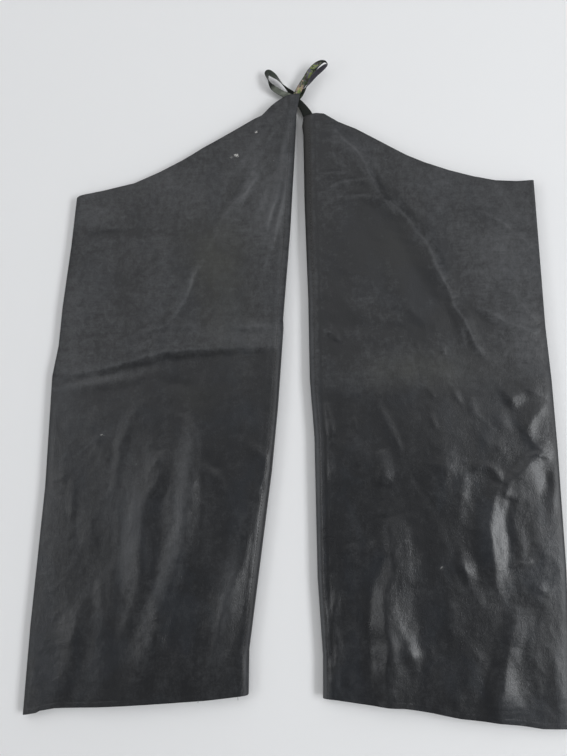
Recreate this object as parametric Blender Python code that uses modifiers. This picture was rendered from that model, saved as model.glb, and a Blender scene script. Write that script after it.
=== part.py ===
"""A pair of leather chaps, hung up by their belt-loop straps on a plain wall peg.

Each leg is a tube of thin leather, open at the slanting top and at the hem, hanging flattened against the wall: a front
and a back panel that meet along two long sides. A narrow strap at each leg's point makes a belt loop. The two straps
cross over the peg, and the two legs hang splayed from there.

Frame: metres, +X to the viewer's right, +Z up, and -Y out of the wall. The wall is the plane y = 0, and the origin is the
middle of the peg's back face, on the wall.
"""

from collections import namedtuple
from math import cos, pi, radians, sin

import bmesh
import bpy
import numpy as np

MM = 0.001

# ---- driving sizes, in metres -------------------------------------------------------------------------------------
LEATHER = 0.0016          # wall of the cloth
SEAM_GAP = 0.0003         # between two pieces that are sewn together
SEAM_STAND_OFF = 0.009    # the side seams' distance from the wall
LIP = 0.0012              # each panel's turned edge, square to the wall
ROLL_REACH = 0.006        # how far in from a side seam the leather rolls over
ROLL_RISE = 0.004         # how far forward that roll takes the front
BACK_STAND_OFF = 0.003    # the flat of the back panels, from the wall
FOLD_FADE = 0.022         # folds die out this close to a side seam
LEG_ROWS = 32             # rows of faces down a leg
STRAP_EDGE_RUN = (-0.11, 0.87, 0.48)  # which way a strap's width runs where it stands edge-on: back and up
PEG_RADIUS = 0.0037
PEG_LENGTH = 0.011
FLANGE_RADIUS = 0.007
FLANGE_THICKNESS = 0.003

# ---- tables -------------------------------------------------------------------------------------------------------
# A corner of a leg, in millimetres from the origin.
Corner = namedtuple("Corner", "x z")
# A station along one side of a leg: the share of the side's straight line, and the millimetres that the side bows out
# from it there. Long sides bow towards +X, top edges and hems bow down.
Side = namedtuple("Side", "share bow")
# How the leg stands off the wall: the share of the way down, the side seams' distance from the wall, and how far the
# front's middle stands out past its rolled sides, both in millimetres.
Depth = namedtuple("Depth", "down seam loft")
# A soft fold on a front panel: three places that it runs through, its half width, and its height, in millimetres.
# A negative height is a trough.
Fold = namedtuple("Fold", "x1 z1 x2 z2 x3 z3 half height")
# A station of a strap: its middle, its turn about its own run in degrees (0 flat to the wall, 90 edge-on), its width.
Station = namedtuple("Station", "x y z turn width")
# One leg.
Leg = namedtuple("Leg", "point side hem_side hem_point centre outer top hem depth folds back_from")

LEFT_LEG = Leg(
    point=Corner(12.2, 12.8),
    side=Corner(-363.7, -148.6),
    hem_side=Corner(-422.1, -979.0),
    hem_point=Corner(-69.2, -939.1),
    centre=[
        Side(0.038, -3.1), Side(0.241, 2.5), Side(0.392, 3.3), Side(0.409, 5.2), Side(0.539, 7.2),
        Side(0.644, 6.3), Side(0.931, -4.9),
    ],
    outer=[
        Side(0.100, -0.9), Side(0.224, -4.9), Side(0.302, -4.7), Side(0.362, -10.1), Side(0.577, -2.4),
        Side(0.837, -2.8),
    ],
    top=[
        Side(0.045, -4.8), Side(0.063, -4.8), Side(0.095, -3.2), Side(0.125, -0.1), Side(0.171, 7.8),
        Side(0.204, 7.6), Side(0.440, 14.3), Side(0.541, 19.0), Side(0.646, 20.8), Side(0.755, 19.7),
        Side(0.883, 8.8), Side(0.966, 0.1), Side(0.985, -1.1),
    ],
    hem=[
        Side(0.187, 0.8), Side(0.447, -1.2), Side(0.661, -3.6), Side(0.847, -7.0), Side(0.919, -4.8),
        Side(0.932, -2.2),
    ],
    depth=[Depth(0.0, 17, 2), Depth(0.09, 9, 5), Depth(0.25, 9, 9), Depth(0.6, 9, 12), Depth(1.0, 9, 10)],
    folds=[
        Fold(-126, -206, -163, -297, -198, -378, 26, 3.0),
        Fold(-8, -29, -18, -134, -39, -270, 10, -2.0),
        Fold(-36, -39, -56, -150, -97, -269, 12, 2.5),
        Fold(-385, -470, -238, -423, -23, -407, 12, -2.5),
        Fold(-377, -493, -245, -449, -26, -433, 12, 2.5),
        Fold(-162, -542, -181, -671, -246, -909, 14, 5.0),
        Fold(-223, -562, -257, -656, -256, -794, 17, 4.0),
        Fold(-195, -539, -209, -648, -231, -741, 12, -2.5),
        Fold(-47, -602, -89, -739, -136, -935, 16, 4.0),
        Fold(-355, -834, -365, -894, -376, -956, 14, 3.0),
    ],
    back_from=0.036,
)

RIGHT_LEG = Leg(
    point=Corner(18.8, -24.8),
    side=Corner(381.9, -147.8),
    hem_side=Corner(403.2, -973.9),
    hem_point=Corner(45.1, -940.2),
    centre=[
        Side(0.017, -2.8), Side(0.033, -1.3), Side(0.158, -3.0), Side(0.336, -2.2), Side(0.475, -4.0),
        Side(0.574, 0.3), Side(0.809, -2.1), Side(0.935, 2.1),
    ],
    outer=[Side(0.283, 2.2), Side(0.384, 5.9), Side(0.509, 7.7), Side(0.730, 8.0)],
    top=[
        Side(0.017, -5.4), Side(0.045, -11.7), Side(0.079, -14.1), Side(0.150, -6.6), Side(0.230, -3.3),
        Side(0.472, 17.1), Side(0.552, 20.5), Side(0.659, 22.2), Side(0.764, 21.0), Side(0.851, 17.7),
        Side(0.941, 8.9),
    ],
    hem=[
        Side(0.062, -0.9), Side(0.234, -0.9), Side(0.335, -3.1), Side(0.451, -1.6), Side(0.561, 1.5),
        Side(0.799, 1.0), Side(0.883, 2.2), Side(0.978, -1.0),
    ],
    depth=[Depth(0.0, 9, 2), Depth(0.09, 9, 5), Depth(0.25, 9, 9), Depth(0.6, 9, 12), Depth(1.0, 9, 10)],
    folds=[
        Fold(49, -32, 141, -166, 275, -403, 11, 4.0),
        Fold(74, -121, 163, -265, 237, -387, 22, -3.5),
        Fold(31, -457, 213, -452, 390, -463, 12, -2.0),
        Fold(331, -590, 296, -676, 307, -775, 15, 6.0),
        Fold(269, -614, 254, -713, 263, -793, 20, -3.5),
        Fold(140, -707, 161, -794, 193, -925, 16, 5.0),
        Fold(353, -791, 330, -869, 308, -958, 18, 5.0),
        Fold(63, -781, 67, -854, 73, -929, 9, 2.5),
        Fold(397, -557, 380, -584, 343, -602, 10, 3.0),
    ],
    back_from=0.030,
)


# Each strap runs out of its leg's point, over the crossing, round the loop's tip and back to the crossing.
RIGHT_STRAP = [
    Station(27.8, -7.9, -29.0, 0, 16), Station(24.2, -7.9, -17.5, 0, 16), Station(18.1, -8.2, -6.4, 0, 13),
    Station(11.5, -8.8, 2.4, 0, 11), Station(4.7, -9.0, 8.4, 0, 11), Station(-2.8, -9.0, 13.4, 0, 11),
    Station(-10.4, -9.2, 17.2, 0, 11), Station(-17.8, -9.6, 21.2, 0, 10), Station(-25.2, -10.2, 25.7, 5, 10),
    Station(-31.8, -11.0, 30.7, 25, 10), Station(-36.7, -12.0, 36.6, 60, 10), Station(-39.9, -13.5, 43.1, 88, 11),
    Station(-41.8, -15.0, 50.0, 118, 11), Station(-41.6, -16.0, 54.6, 142, 11), Station(-38.4, -15.8, 54.8, 150, 11),
    Station(-31.0, -14.5, 50.2, 136, 11), Station(-24.1, -13.0, 44.1, 108, 11), Station(-14.8, -10.5, 33.9, 85, 11),
    Station(-7.2, -7.5, 26.6, 60, 11), Station(-0.9, -5.8, 20.1, 15, 11), Station(5.3, -5.8, 13.4, 0, 11),
]
LEFT_STRAP = [
    Station(-4.7, -14.6, -8.0, 0, 11), Station(1.1, -14.6, 3.0, 0, 11), Station(6.1, -14.6, 13.0, 0, 11),
    Station(11.6, -14.8, 23.1, 0, 11), Station(17.6, -15.2, 32.4, 5, 12), Station(23.6, -16.0, 40.8, 8, 12.5),
    Station(28.5, -16.8, 48.8, 12, 12.5), Station(34.0, -17.6, 56.0, 18, 12.5), Station(40.9, -18.8, 62.2, 32, 12.5),
    Station(48.1, -20.0, 65.8, 52, 12), Station(54.6, -21.0, 65.8, 78, 11.5), Station(58.0, -21.5, 61.3, 102, 11),
    Station(54.0, -21.4, 58.0, 124, 12), Station(46.6, -20.8, 52.1, 136, 12), Station(39.1, -20.0, 46.2, 138, 12),
    Station(32.7, -18.8, 39.7, 132, 12), Station(26.4, -16.6, 31.4, 110, 11.5), Station(21.3, -13.8, 24.8, 82, 11),
    Station(17.5, -11.4, 21.4, 60, 11), Station(14.3, -9.9, 19.0, 40, 11), Station(11.3, -11.2, 15.2, 15, 11),
    Station(8.4, -12.2, 11.5, 0, 11),
]


# ---- a leg's form -------------------------------------------------------------------------------------------------
def blend(t):
    """0 to 1 with level ends."""
    t = np.clip(t, 0.0, 1.0)
    return t * t * (3 - 2 * t)


def side_line(a, b, rows, across, share):
    """Points (x, z) on a leg's side from corner a to corner b, bowed by its rows along the direction across."""
    at = [0.0] + [r.share for r in rows] + [1.0]
    bow = np.interp(share, at, [0.0] + [r.bow for r in rows] + [0.0]) * MM
    p = np.outer(1 - share, (a.x * MM, a.z * MM)) + np.outer(share, (b.x * MM, b.z * MM))
    return p + np.outer(bow, across)


def downward(a, b):
    """The unit direction square to the line from a to b that points down."""
    n = np.array([a.z - b.z, b.x - a.x], float)
    n /= np.hypot(*n)
    return n if n[1] < 0 else -n


def leg_plan(leg, u, v):
    """(x, z) on a grid of shares u, from the long seam to the short one, and v, from the top to the hem: a patch
    between the leg's four sides."""
    c = side_line(leg.point, leg.hem_point, leg.centre, (1, 0), v)[:, None]
    o = side_line(leg.side, leg.hem_side, leg.outer, (1, 0), v)[:, None]
    t = side_line(leg.point, leg.side, leg.top, downward(leg.point, leg.side), u)[None]
    h = side_line(leg.hem_point, leg.hem_side, leg.hem, downward(leg.hem_point, leg.hem_side), u)[None]
    u, v = u[None, :, None], v[:, None, None]
    a, b, d, e = (np.array([k.x, k.z]) * MM for k in (leg.point, leg.side, leg.hem_point, leg.hem_side))
    corners = (1 - u) * (1 - v) * a + u * (1 - v) * b + (1 - u) * v * d + u * v * e
    return (1 - u) * c + u * o + (1 - v) * t + v * h - corners


def stand_off(leg, u, v):
    """How far the side seams' level stands off the wall over a grid of shares: the long seam's own stand-off fades to
    the plain one half way across."""
    seam = np.interp(v, [r.down for r in leg.depth], [r.seam * MM for r in leg.depth])
    return SEAM_STAND_OFF + (seam[:, None] - SEAM_STAND_OFF) * (1 - blend(u / 0.5))


def rows_down(leg):
    """The shares down a leg at which its panels have a row of points: even ones, and where its stand-off turns."""
    even = np.linspace(0, 1, LEG_ROWS + 1)
    turn = leg.depth[1].down
    even[np.abs(even - turn).argmin()] = turn
    return even


def fold_height(folds, plan):
    """How far the folds lift the points of a plan, in metres: each fold is a soft ridge along a bent line, fading out
    at its ends."""
    lift = np.zeros(plan.shape[:2])
    for f in folds:
        a, b, c = (np.array(k) * MM for k in ((f.x1, f.z1), (f.x2, f.z2), (f.x3, f.z3)))
        s = np.linspace(0, 1, 25)[:, None]
        m = 2 * b - (a + c) / 2
        line = (1 - s) ** 2 * a + 2 * s * (1 - s) * m + s**2 * c
        d = np.linalg.norm(plan[:, :, None] - line, axis=3)
        near = d.argmin(2)
        fade = np.sin(pi * np.clip(s[near][..., 0], 0.02, 0.98)) ** 0.6
        lift += f.height * MM * fade * np.exp(-((d.min(2) / (f.half * MM)) ** 2))
    return lift


# ---- building -----------------------------------------------------------------------------------------------------
def clear_scene():
    for o in list(bpy.data.objects):
        bpy.data.objects.remove(o, do_unlink=True)
    for c in list(bpy.data.collections):
        bpy.data.collections.remove(c)


def finish_of(name, colour, roughness, metallic=0.0):
    m = bpy.data.materials.new(name)
    m.use_nodes = True
    p = m.node_tree.nodes["Principled BSDF"]
    p.inputs["Base Color"].default_value = (*colour, 1)
    p.inputs["Roughness"].default_value = roughness
    p.inputs["Metallic"].default_value = metallic
    m.diffuse_color = (*colour, 1)
    return m


def sheet_object(name, points, material, collection):
    """A thin shell on a grid of points, given row by row."""
    rows, columns = points.shape[:2]
    bm = bmesh.new()
    bmesh.ops.create_grid(bm, x_segments=columns - 1, y_segments=rows - 1, size=1)
    for vert in bm.verts:
        i = round((vert.co.x + 1) / 2 * (columns - 1))
        j = round((1 - vert.co.y) / 2 * (rows - 1))
        vert.co = points[j, i]
    bmesh.ops.recalc_face_normals(bm, faces=bm.faces)
    mesh = bpy.data.meshes.new(name)
    bm.to_mesh(mesh)
    bm.free()
    mesh.shade_smooth()
    mesh.materials.append(material)
    ob = bpy.data.objects.new(name, mesh)
    collection.objects.link(ob)
    wall = ob.modifiers.new("wall", "SOLIDIFY")
    wall.thickness = LEATHER
    wall.offset = 0
    wall.use_even_offset = False
    wall.use_quality_normals = True
    return ob


def edge_columns(steps):
    """(distance in from the seam, share of the roll's rise) for the lip and the roll at one side of a panel."""
    turn = [pi / 2 * k / steps for k in range(1, steps + 1)]
    return [(0.0, None), (0.0, 0.0)] + [(ROLL_REACH * (1 - cos(t)), sin(t)) for t in turn]


def panel_columns(interior, steps, width):
    """Three lists along a panel's width: the share across, the share of the roll's rise, and whether it is the rim."""
    near = edge_columns(steps)
    share = [d / width for d, _ in near] + interior + [1 - d / width for d, _ in reversed(near)]
    rise = [r for _, r in near] + [1.0] * len(interior) + [r for _, r in reversed(near)]
    rim = [r is None for r in rise]
    return np.array(share), np.array([r or 0.0 for r in rise]), np.array(rim)


def front_points(leg):
    width = np.hypot(leg.hem_side.x - leg.hem_point.x, leg.hem_side.z - leg.hem_point.z) * MM
    interior = [0.045, 0.07, 0.098, 0.125, 0.17, 0.21, 0.28, 0.36, 0.45, 0.54, 0.64, 0.73, 0.81, 0.88, 0.95]
    u, rise, rim = panel_columns(interior, 3, width)
    v = rows_down(leg)
    plan = leg_plan(leg, u, v)
    loft = np.interp(v, [r.down for r in leg.depth], [r.loft * MM for r in leg.depth])
    dome = np.sin(pi * np.clip(u, 0, 1)) ** 0.7
    fade = blend(np.minimum(u, 1 - u) * width / FOLD_FADE)
    out = (
        stand_off(leg, u, v) + SEAM_GAP / 2 + np.where(rim, 0, LIP) + rise * ROLL_RISE
        + loft[:, None] * dome + fold_height(leg.folds, plan) * fade
    )
    return np.dstack([plan[..., 0], -out, plan[..., 1]])


def back_points(leg):
    width = np.hypot(leg.hem_side.x - leg.hem_point.x, leg.hem_side.z - leg.hem_point.z) * MM
    u, rise, rim = panel_columns([0.08, 0.2, 0.4, 0.6, 0.8], 2, width)
    v = rows_down(leg)
    v = np.r_[0, v[v > leg.back_from + 0.02]]
    plan = leg_plan(leg, u, v)
    lip = stand_off(leg, u, v) - SEAM_GAP / 2 - np.where(rim, 0, LIP)
    # The top edge dips at the leg's point, to leave the peg and the straps their room.
    dip = leg.back_from * (1 - blend(u / 0.2))
    for i, share in enumerate(dip):
        if share > 0:
            at = np.array([share])
            plan[0, i] = leg_plan(leg, u[i : i + 1], at)[0, 0]
            lip[0, i] = stand_off(leg, u[i : i + 1], at)[0, 0] - SEAM_GAP / 2 - (0 if rim[i] else LIP)
    out = lip + rise * (BACK_STAND_OFF - lip)
    return np.dstack([plan[..., 0], -out, plan[..., 1]])


def strap_points(stations):
    """The two edges of a strap along a smooth line through its stations."""
    k = np.array([(s.x * MM, s.y * MM, s.z * MM, radians(s.turn), s.width * MM) for s in stations])
    k = np.vstack([2 * k[0] - k[1], k, 2 * k[-1] - k[-2]])
    smooth = []
    for i in range(1, len(k) - 2):
        p0, p1, p2, p3 = k[i - 1 : i + 3]
        for t in (0.0, 0.5):
            smooth.append(0.5 * (2 * p1 + (p2 - p0) * t + (2 * p0 - 5 * p1 + 4 * p2 - p3) * t**2
                                 + (3 * p1 - p0 - 3 * p2 + p3) * t**3))
    smooth.append(k[-2])
    smooth = np.array(smooth)
    run = np.gradient(smooth[:, :3], axis=0)
    run[:, 1] = 0
    run /= np.linalg.norm(run, axis=1)[:, None]
    flat = np.stack([run[:, 2], 0 * run[:, 0], -run[:, 0]], axis=1)
    across = np.cos(smooth[:, 3])[:, None] * flat + np.sin(smooth[:, 3])[:, None] * np.array(STRAP_EDGE_RUN)
    half = smooth[:, 4:5] / 2
    return np.stack([smooth[:, :3] - across * half, smooth[:, :3], smooth[:, :3] + across * half], axis=1)


def peg_object(name, material, collection):
    """A turned peg: a small round flange on the wall and a dowel standing out of it."""
    profile = [
        (0.0, 0.0), (FLANGE_RADIUS, 0.0), (FLANGE_RADIUS, FLANGE_THICKNESS * 0.7),
        (FLANGE_RADIUS - FLANGE_THICKNESS * 0.3, FLANGE_THICKNESS), (PEG_RADIUS, FLANGE_THICKNESS),
        (PEG_RADIUS, PEG_LENGTH - 0.0005), (PEG_RADIUS - 0.0005, PEG_LENGTH), (0.0, PEG_LENGTH),
    ]
    bm = bmesh.new()
    verts = [bm.verts.new((r, -out, 0)) for r, out in profile]
    for a, b in zip(verts, verts[1:]):
        bm.edges.new((a, b))
    mesh = bpy.data.meshes.new(name)
    bm.to_mesh(mesh)
    bm.free()
    mesh.materials.append(material)
    ob = bpy.data.objects.new(name, mesh)
    collection.objects.link(ob)
    turn = ob.modifiers.new("turn", "SCREW")
    turn.axis = "Y"
    turn.steps = turn.render_steps = 24
    turn.use_merge_vertices = True
    turn.merge_threshold = 0.00001
    turn.use_normal_calculate = True
    return ob


def main():
    clear_scene()
    collection = bpy.data.collections.new("leather_chaps")
    bpy.context.scene.collection.children.link(collection)
    leather = finish_of("black_leather", (0.028, 0.028, 0.030), 0.38)
    lining = finish_of("strap_leather", (0.030, 0.031, 0.028), 0.5)
    wood = finish_of("peg_wood", (0.62, 0.58, 0.50), 0.55)
    for side, leg in (("left", LEFT_LEG), ("right", RIGHT_LEG)):
        sheet_object(f"{side}_leg_front", front_points(leg), leather, collection)
        sheet_object(f"{side}_leg_back", back_points(leg), leather, collection)
    sheet_object("left_leg_strap", strap_points(LEFT_STRAP), lining, collection)
    sheet_object("right_leg_strap", strap_points(RIGHT_STRAP), lining, collection)
    peg_object("wall_peg", wood, collection)


main()
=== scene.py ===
"""The looks of a pair of black leather chaps, hung splayed from a wall peg by their belt-loop straps.

Every panel is a thin shell on the form of its CAD solid, made again here from the same named sizes and tables on a
finer grid, with the leather's creases placed in millimetres.
wall is y = 0, and the origin is the middle of the peg's back face.
"""

from collections import namedtuple
from math import cos, pi, radians, sin

import bpy
import numpy as np
from mathutils import Matrix, Vector


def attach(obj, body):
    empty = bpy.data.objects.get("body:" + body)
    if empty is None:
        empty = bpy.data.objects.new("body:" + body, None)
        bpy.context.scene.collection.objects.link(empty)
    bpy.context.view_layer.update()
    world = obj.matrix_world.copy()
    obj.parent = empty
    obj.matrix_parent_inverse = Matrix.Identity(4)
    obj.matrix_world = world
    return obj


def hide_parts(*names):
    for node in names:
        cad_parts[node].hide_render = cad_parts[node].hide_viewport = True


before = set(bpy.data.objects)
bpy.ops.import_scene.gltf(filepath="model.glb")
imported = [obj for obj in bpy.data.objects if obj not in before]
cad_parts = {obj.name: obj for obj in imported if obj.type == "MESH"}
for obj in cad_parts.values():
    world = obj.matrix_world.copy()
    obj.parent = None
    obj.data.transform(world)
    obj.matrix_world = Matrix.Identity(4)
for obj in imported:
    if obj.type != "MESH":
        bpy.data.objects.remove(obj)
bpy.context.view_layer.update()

MM = 0.001

# ---- sizes, in metres ---------------------------------------------------------------------------------------------
LEATHER = 0.0013          # visible wall of the leather, inside the CAD's 1.6 mm
SEAM_GAP = 0.0003
SEAM_STAND_OFF = 0.009
LIP = 0.0012
ROLL_REACH = 0.0034
ROLL_RISE = 0.0028
BACK_STAND_OFF = 0.003
CREASE_FADE = 0.010       # creases die out this close to a side seam
TOPSTITCH = 0.0072        # the topstitching's distance in from the long seam
STITCH_PITCH = 0.0050
STITCH_LENGTH = 0.0031
STRAP_EDGE_RUN = (-0.11, 0.87, 0.48)
FRONT_ROWS, BACK_ROWS = 480, 270   # rows of faces, each a multiple of 3

# ---- tables -------------------------------------------------------------------------------------------------------
Corner = namedtuple("Corner", "x z")
Side = namedtuple("Side", "share bow")
Depth = namedtuple("Depth", "down seam loft")
Station = namedtuple("Station", "x y z turn width")
Leg = namedtuple("Leg", "point side hem_side hem_point centre outer top hem depth back_from")
# A crease: the places (x, z) that its crest runs through, from the top down or from left to right; how far its lit flank
# (to the right of the crest, or above it) and its shaded flank reach; its height, all in millimetres; and how soft it is,
# from 0, a sharp fold, to 1.
Crease = namedtuple("Crease", "line lit shade height soft")
# A patch of the surface: its middle and half sizes in millimetres, its turn in degrees, and how strong it is.
Patch = namedtuple("Patch", "x z rx rz turn amount")

LEFT_LEG = Leg(
    point=Corner(12.2, 12.8),
    side=Corner(-363.7, -148.6),
    hem_side=Corner(-422.1, -979.0),
    hem_point=Corner(-69.2, -939.1),
    centre=[
        Side(0.038, -3.1), Side(0.241, 2.5), Side(0.392, 3.3), Side(0.409, 5.2), Side(0.539, 7.2),
        Side(0.644, 6.3), Side(0.931, -4.9),
    ],
    outer=[
        Side(0.100, -0.9), Side(0.224, -4.9), Side(0.302, -4.7), Side(0.362, -10.1), Side(0.577, -2.4),
        Side(0.837, -2.8),
    ],
    top=[
        Side(0.045, -4.8), Side(0.063, -4.8), Side(0.095, -3.2), Side(0.125, -0.1), Side(0.171, 7.8),
        Side(0.204, 7.6), Side(0.440, 14.3), Side(0.541, 19.0), Side(0.646, 20.8), Side(0.755, 19.7),
        Side(0.883, 8.8), Side(0.966, 0.1), Side(0.985, -1.1),
    ],
    hem=[
        Side(0.187, 0.8), Side(0.447, -1.2), Side(0.661, -3.6), Side(0.847, -7.0), Side(0.919, -4.8),
        Side(0.932, -2.2),
    ],
    depth=[Depth(0.0, 17, 2), Depth(0.09, 9, 5), Depth(0.25, 9, 9), Depth(0.6, 9, 12), Depth(1.0, 9, 10)],
    back_from=0.036,
)

RIGHT_LEG = Leg(
    point=Corner(18.8, -24.8),
    side=Corner(381.9, -147.8),
    hem_side=Corner(403.2, -973.9),
    hem_point=Corner(45.1, -940.2),
    centre=[
        Side(0.017, -2.8), Side(0.033, -1.3), Side(0.158, -3.0), Side(0.336, -2.2), Side(0.475, -4.0),
        Side(0.574, 0.3), Side(0.809, -2.1), Side(0.935, 2.1),
    ],
    outer=[Side(0.283, 2.2), Side(0.384, 5.9), Side(0.509, 7.7), Side(0.730, 8.0)],
    top=[
        Side(0.017, -5.4), Side(0.045, -11.7), Side(0.079, -14.1), Side(0.150, -6.6), Side(0.230, -3.3),
        Side(0.472, 17.1), Side(0.552, 20.5), Side(0.659, 22.2), Side(0.764, 21.0), Side(0.851, 17.7),
        Side(0.941, 8.9),
    ],
    hem=[
        Side(0.062, -0.9), Side(0.234, -0.9), Side(0.335, -3.1), Side(0.451, -1.6), Side(0.561, 1.5),
        Side(0.799, 1.0), Side(0.883, 2.2), Side(0.978, -1.0),
    ],
    depth=[Depth(0.0, 9, 2), Depth(0.09, 9, 5), Depth(0.25, 9, 9), Depth(0.6, 9, 12), Depth(1.0, 9, 10)],
    back_from=0.030,
)

RIGHT_STRAP = [
    Station(27.8, -7.9, -29.0, 0, 16), Station(24.2, -7.9, -17.5, 0, 16), Station(18.1, -8.2, -6.4, 0, 13),
    Station(11.5, -8.8, 2.4, 0, 11), Station(4.7, -9.0, 8.4, 0, 11), Station(-2.8, -9.0, 13.4, 0, 11),
    Station(-10.4, -9.2, 17.2, 0, 11), Station(-17.8, -9.6, 21.2, 0, 10), Station(-25.2, -10.2, 25.7, 5, 10),
    Station(-31.8, -11.0, 30.7, 25, 10), Station(-36.7, -12.0, 36.6, 60, 10), Station(-39.9, -13.5, 43.1, 88, 11),
    Station(-41.8, -15.0, 50.0, 118, 11), Station(-41.6, -16.0, 54.6, 142, 11), Station(-38.4, -15.8, 54.8, 150, 11),
    Station(-31.0, -14.5, 50.2, 136, 11), Station(-24.1, -13.0, 44.1, 108, 11), Station(-14.8, -10.5, 33.9, 85, 11),
    Station(-7.2, -7.5, 26.6, 60, 11), Station(-0.9, -5.8, 20.1, 15, 11), Station(5.3, -5.8, 13.4, 0, 11),
]
LEFT_STRAP = [
    Station(-4.7, -14.6, -8.0, 0, 11), Station(1.1, -14.6, 3.0, 0, 11), Station(6.1, -14.6, 13.0, 0, 11),
    Station(11.6, -14.8, 23.1, 0, 11), Station(17.6, -15.2, 32.4, 5, 12), Station(23.6, -16.0, 40.8, 8, 12.5),
    Station(28.5, -16.8, 48.8, 12, 12.5), Station(34.0, -17.6, 56.0, 18, 12.5), Station(40.9, -18.8, 62.2, 32, 12.5),
    Station(48.1, -20.0, 65.8, 52, 12), Station(54.6, -21.0, 65.8, 78, 11.5), Station(58.0, -21.5, 61.3, 102, 11),
    Station(54.0, -21.4, 58.0, 124, 12), Station(46.6, -20.8, 52.1, 136, 12), Station(39.1, -20.0, 46.2, 138, 12),
    Station(32.7, -18.8, 39.7, 132, 12), Station(26.4, -16.6, 31.4, 110, 11.5), Station(21.3, -13.8, 24.8, 82, 11),
    Station(17.5, -11.4, 21.4, 60, 11), Station(14.3, -9.9, 19.0, 40, 11), Station(11.3, -11.2, 15.2, 15, 11),
    Station(8.4, -12.2, 11.5, 0, 11),
]

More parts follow.
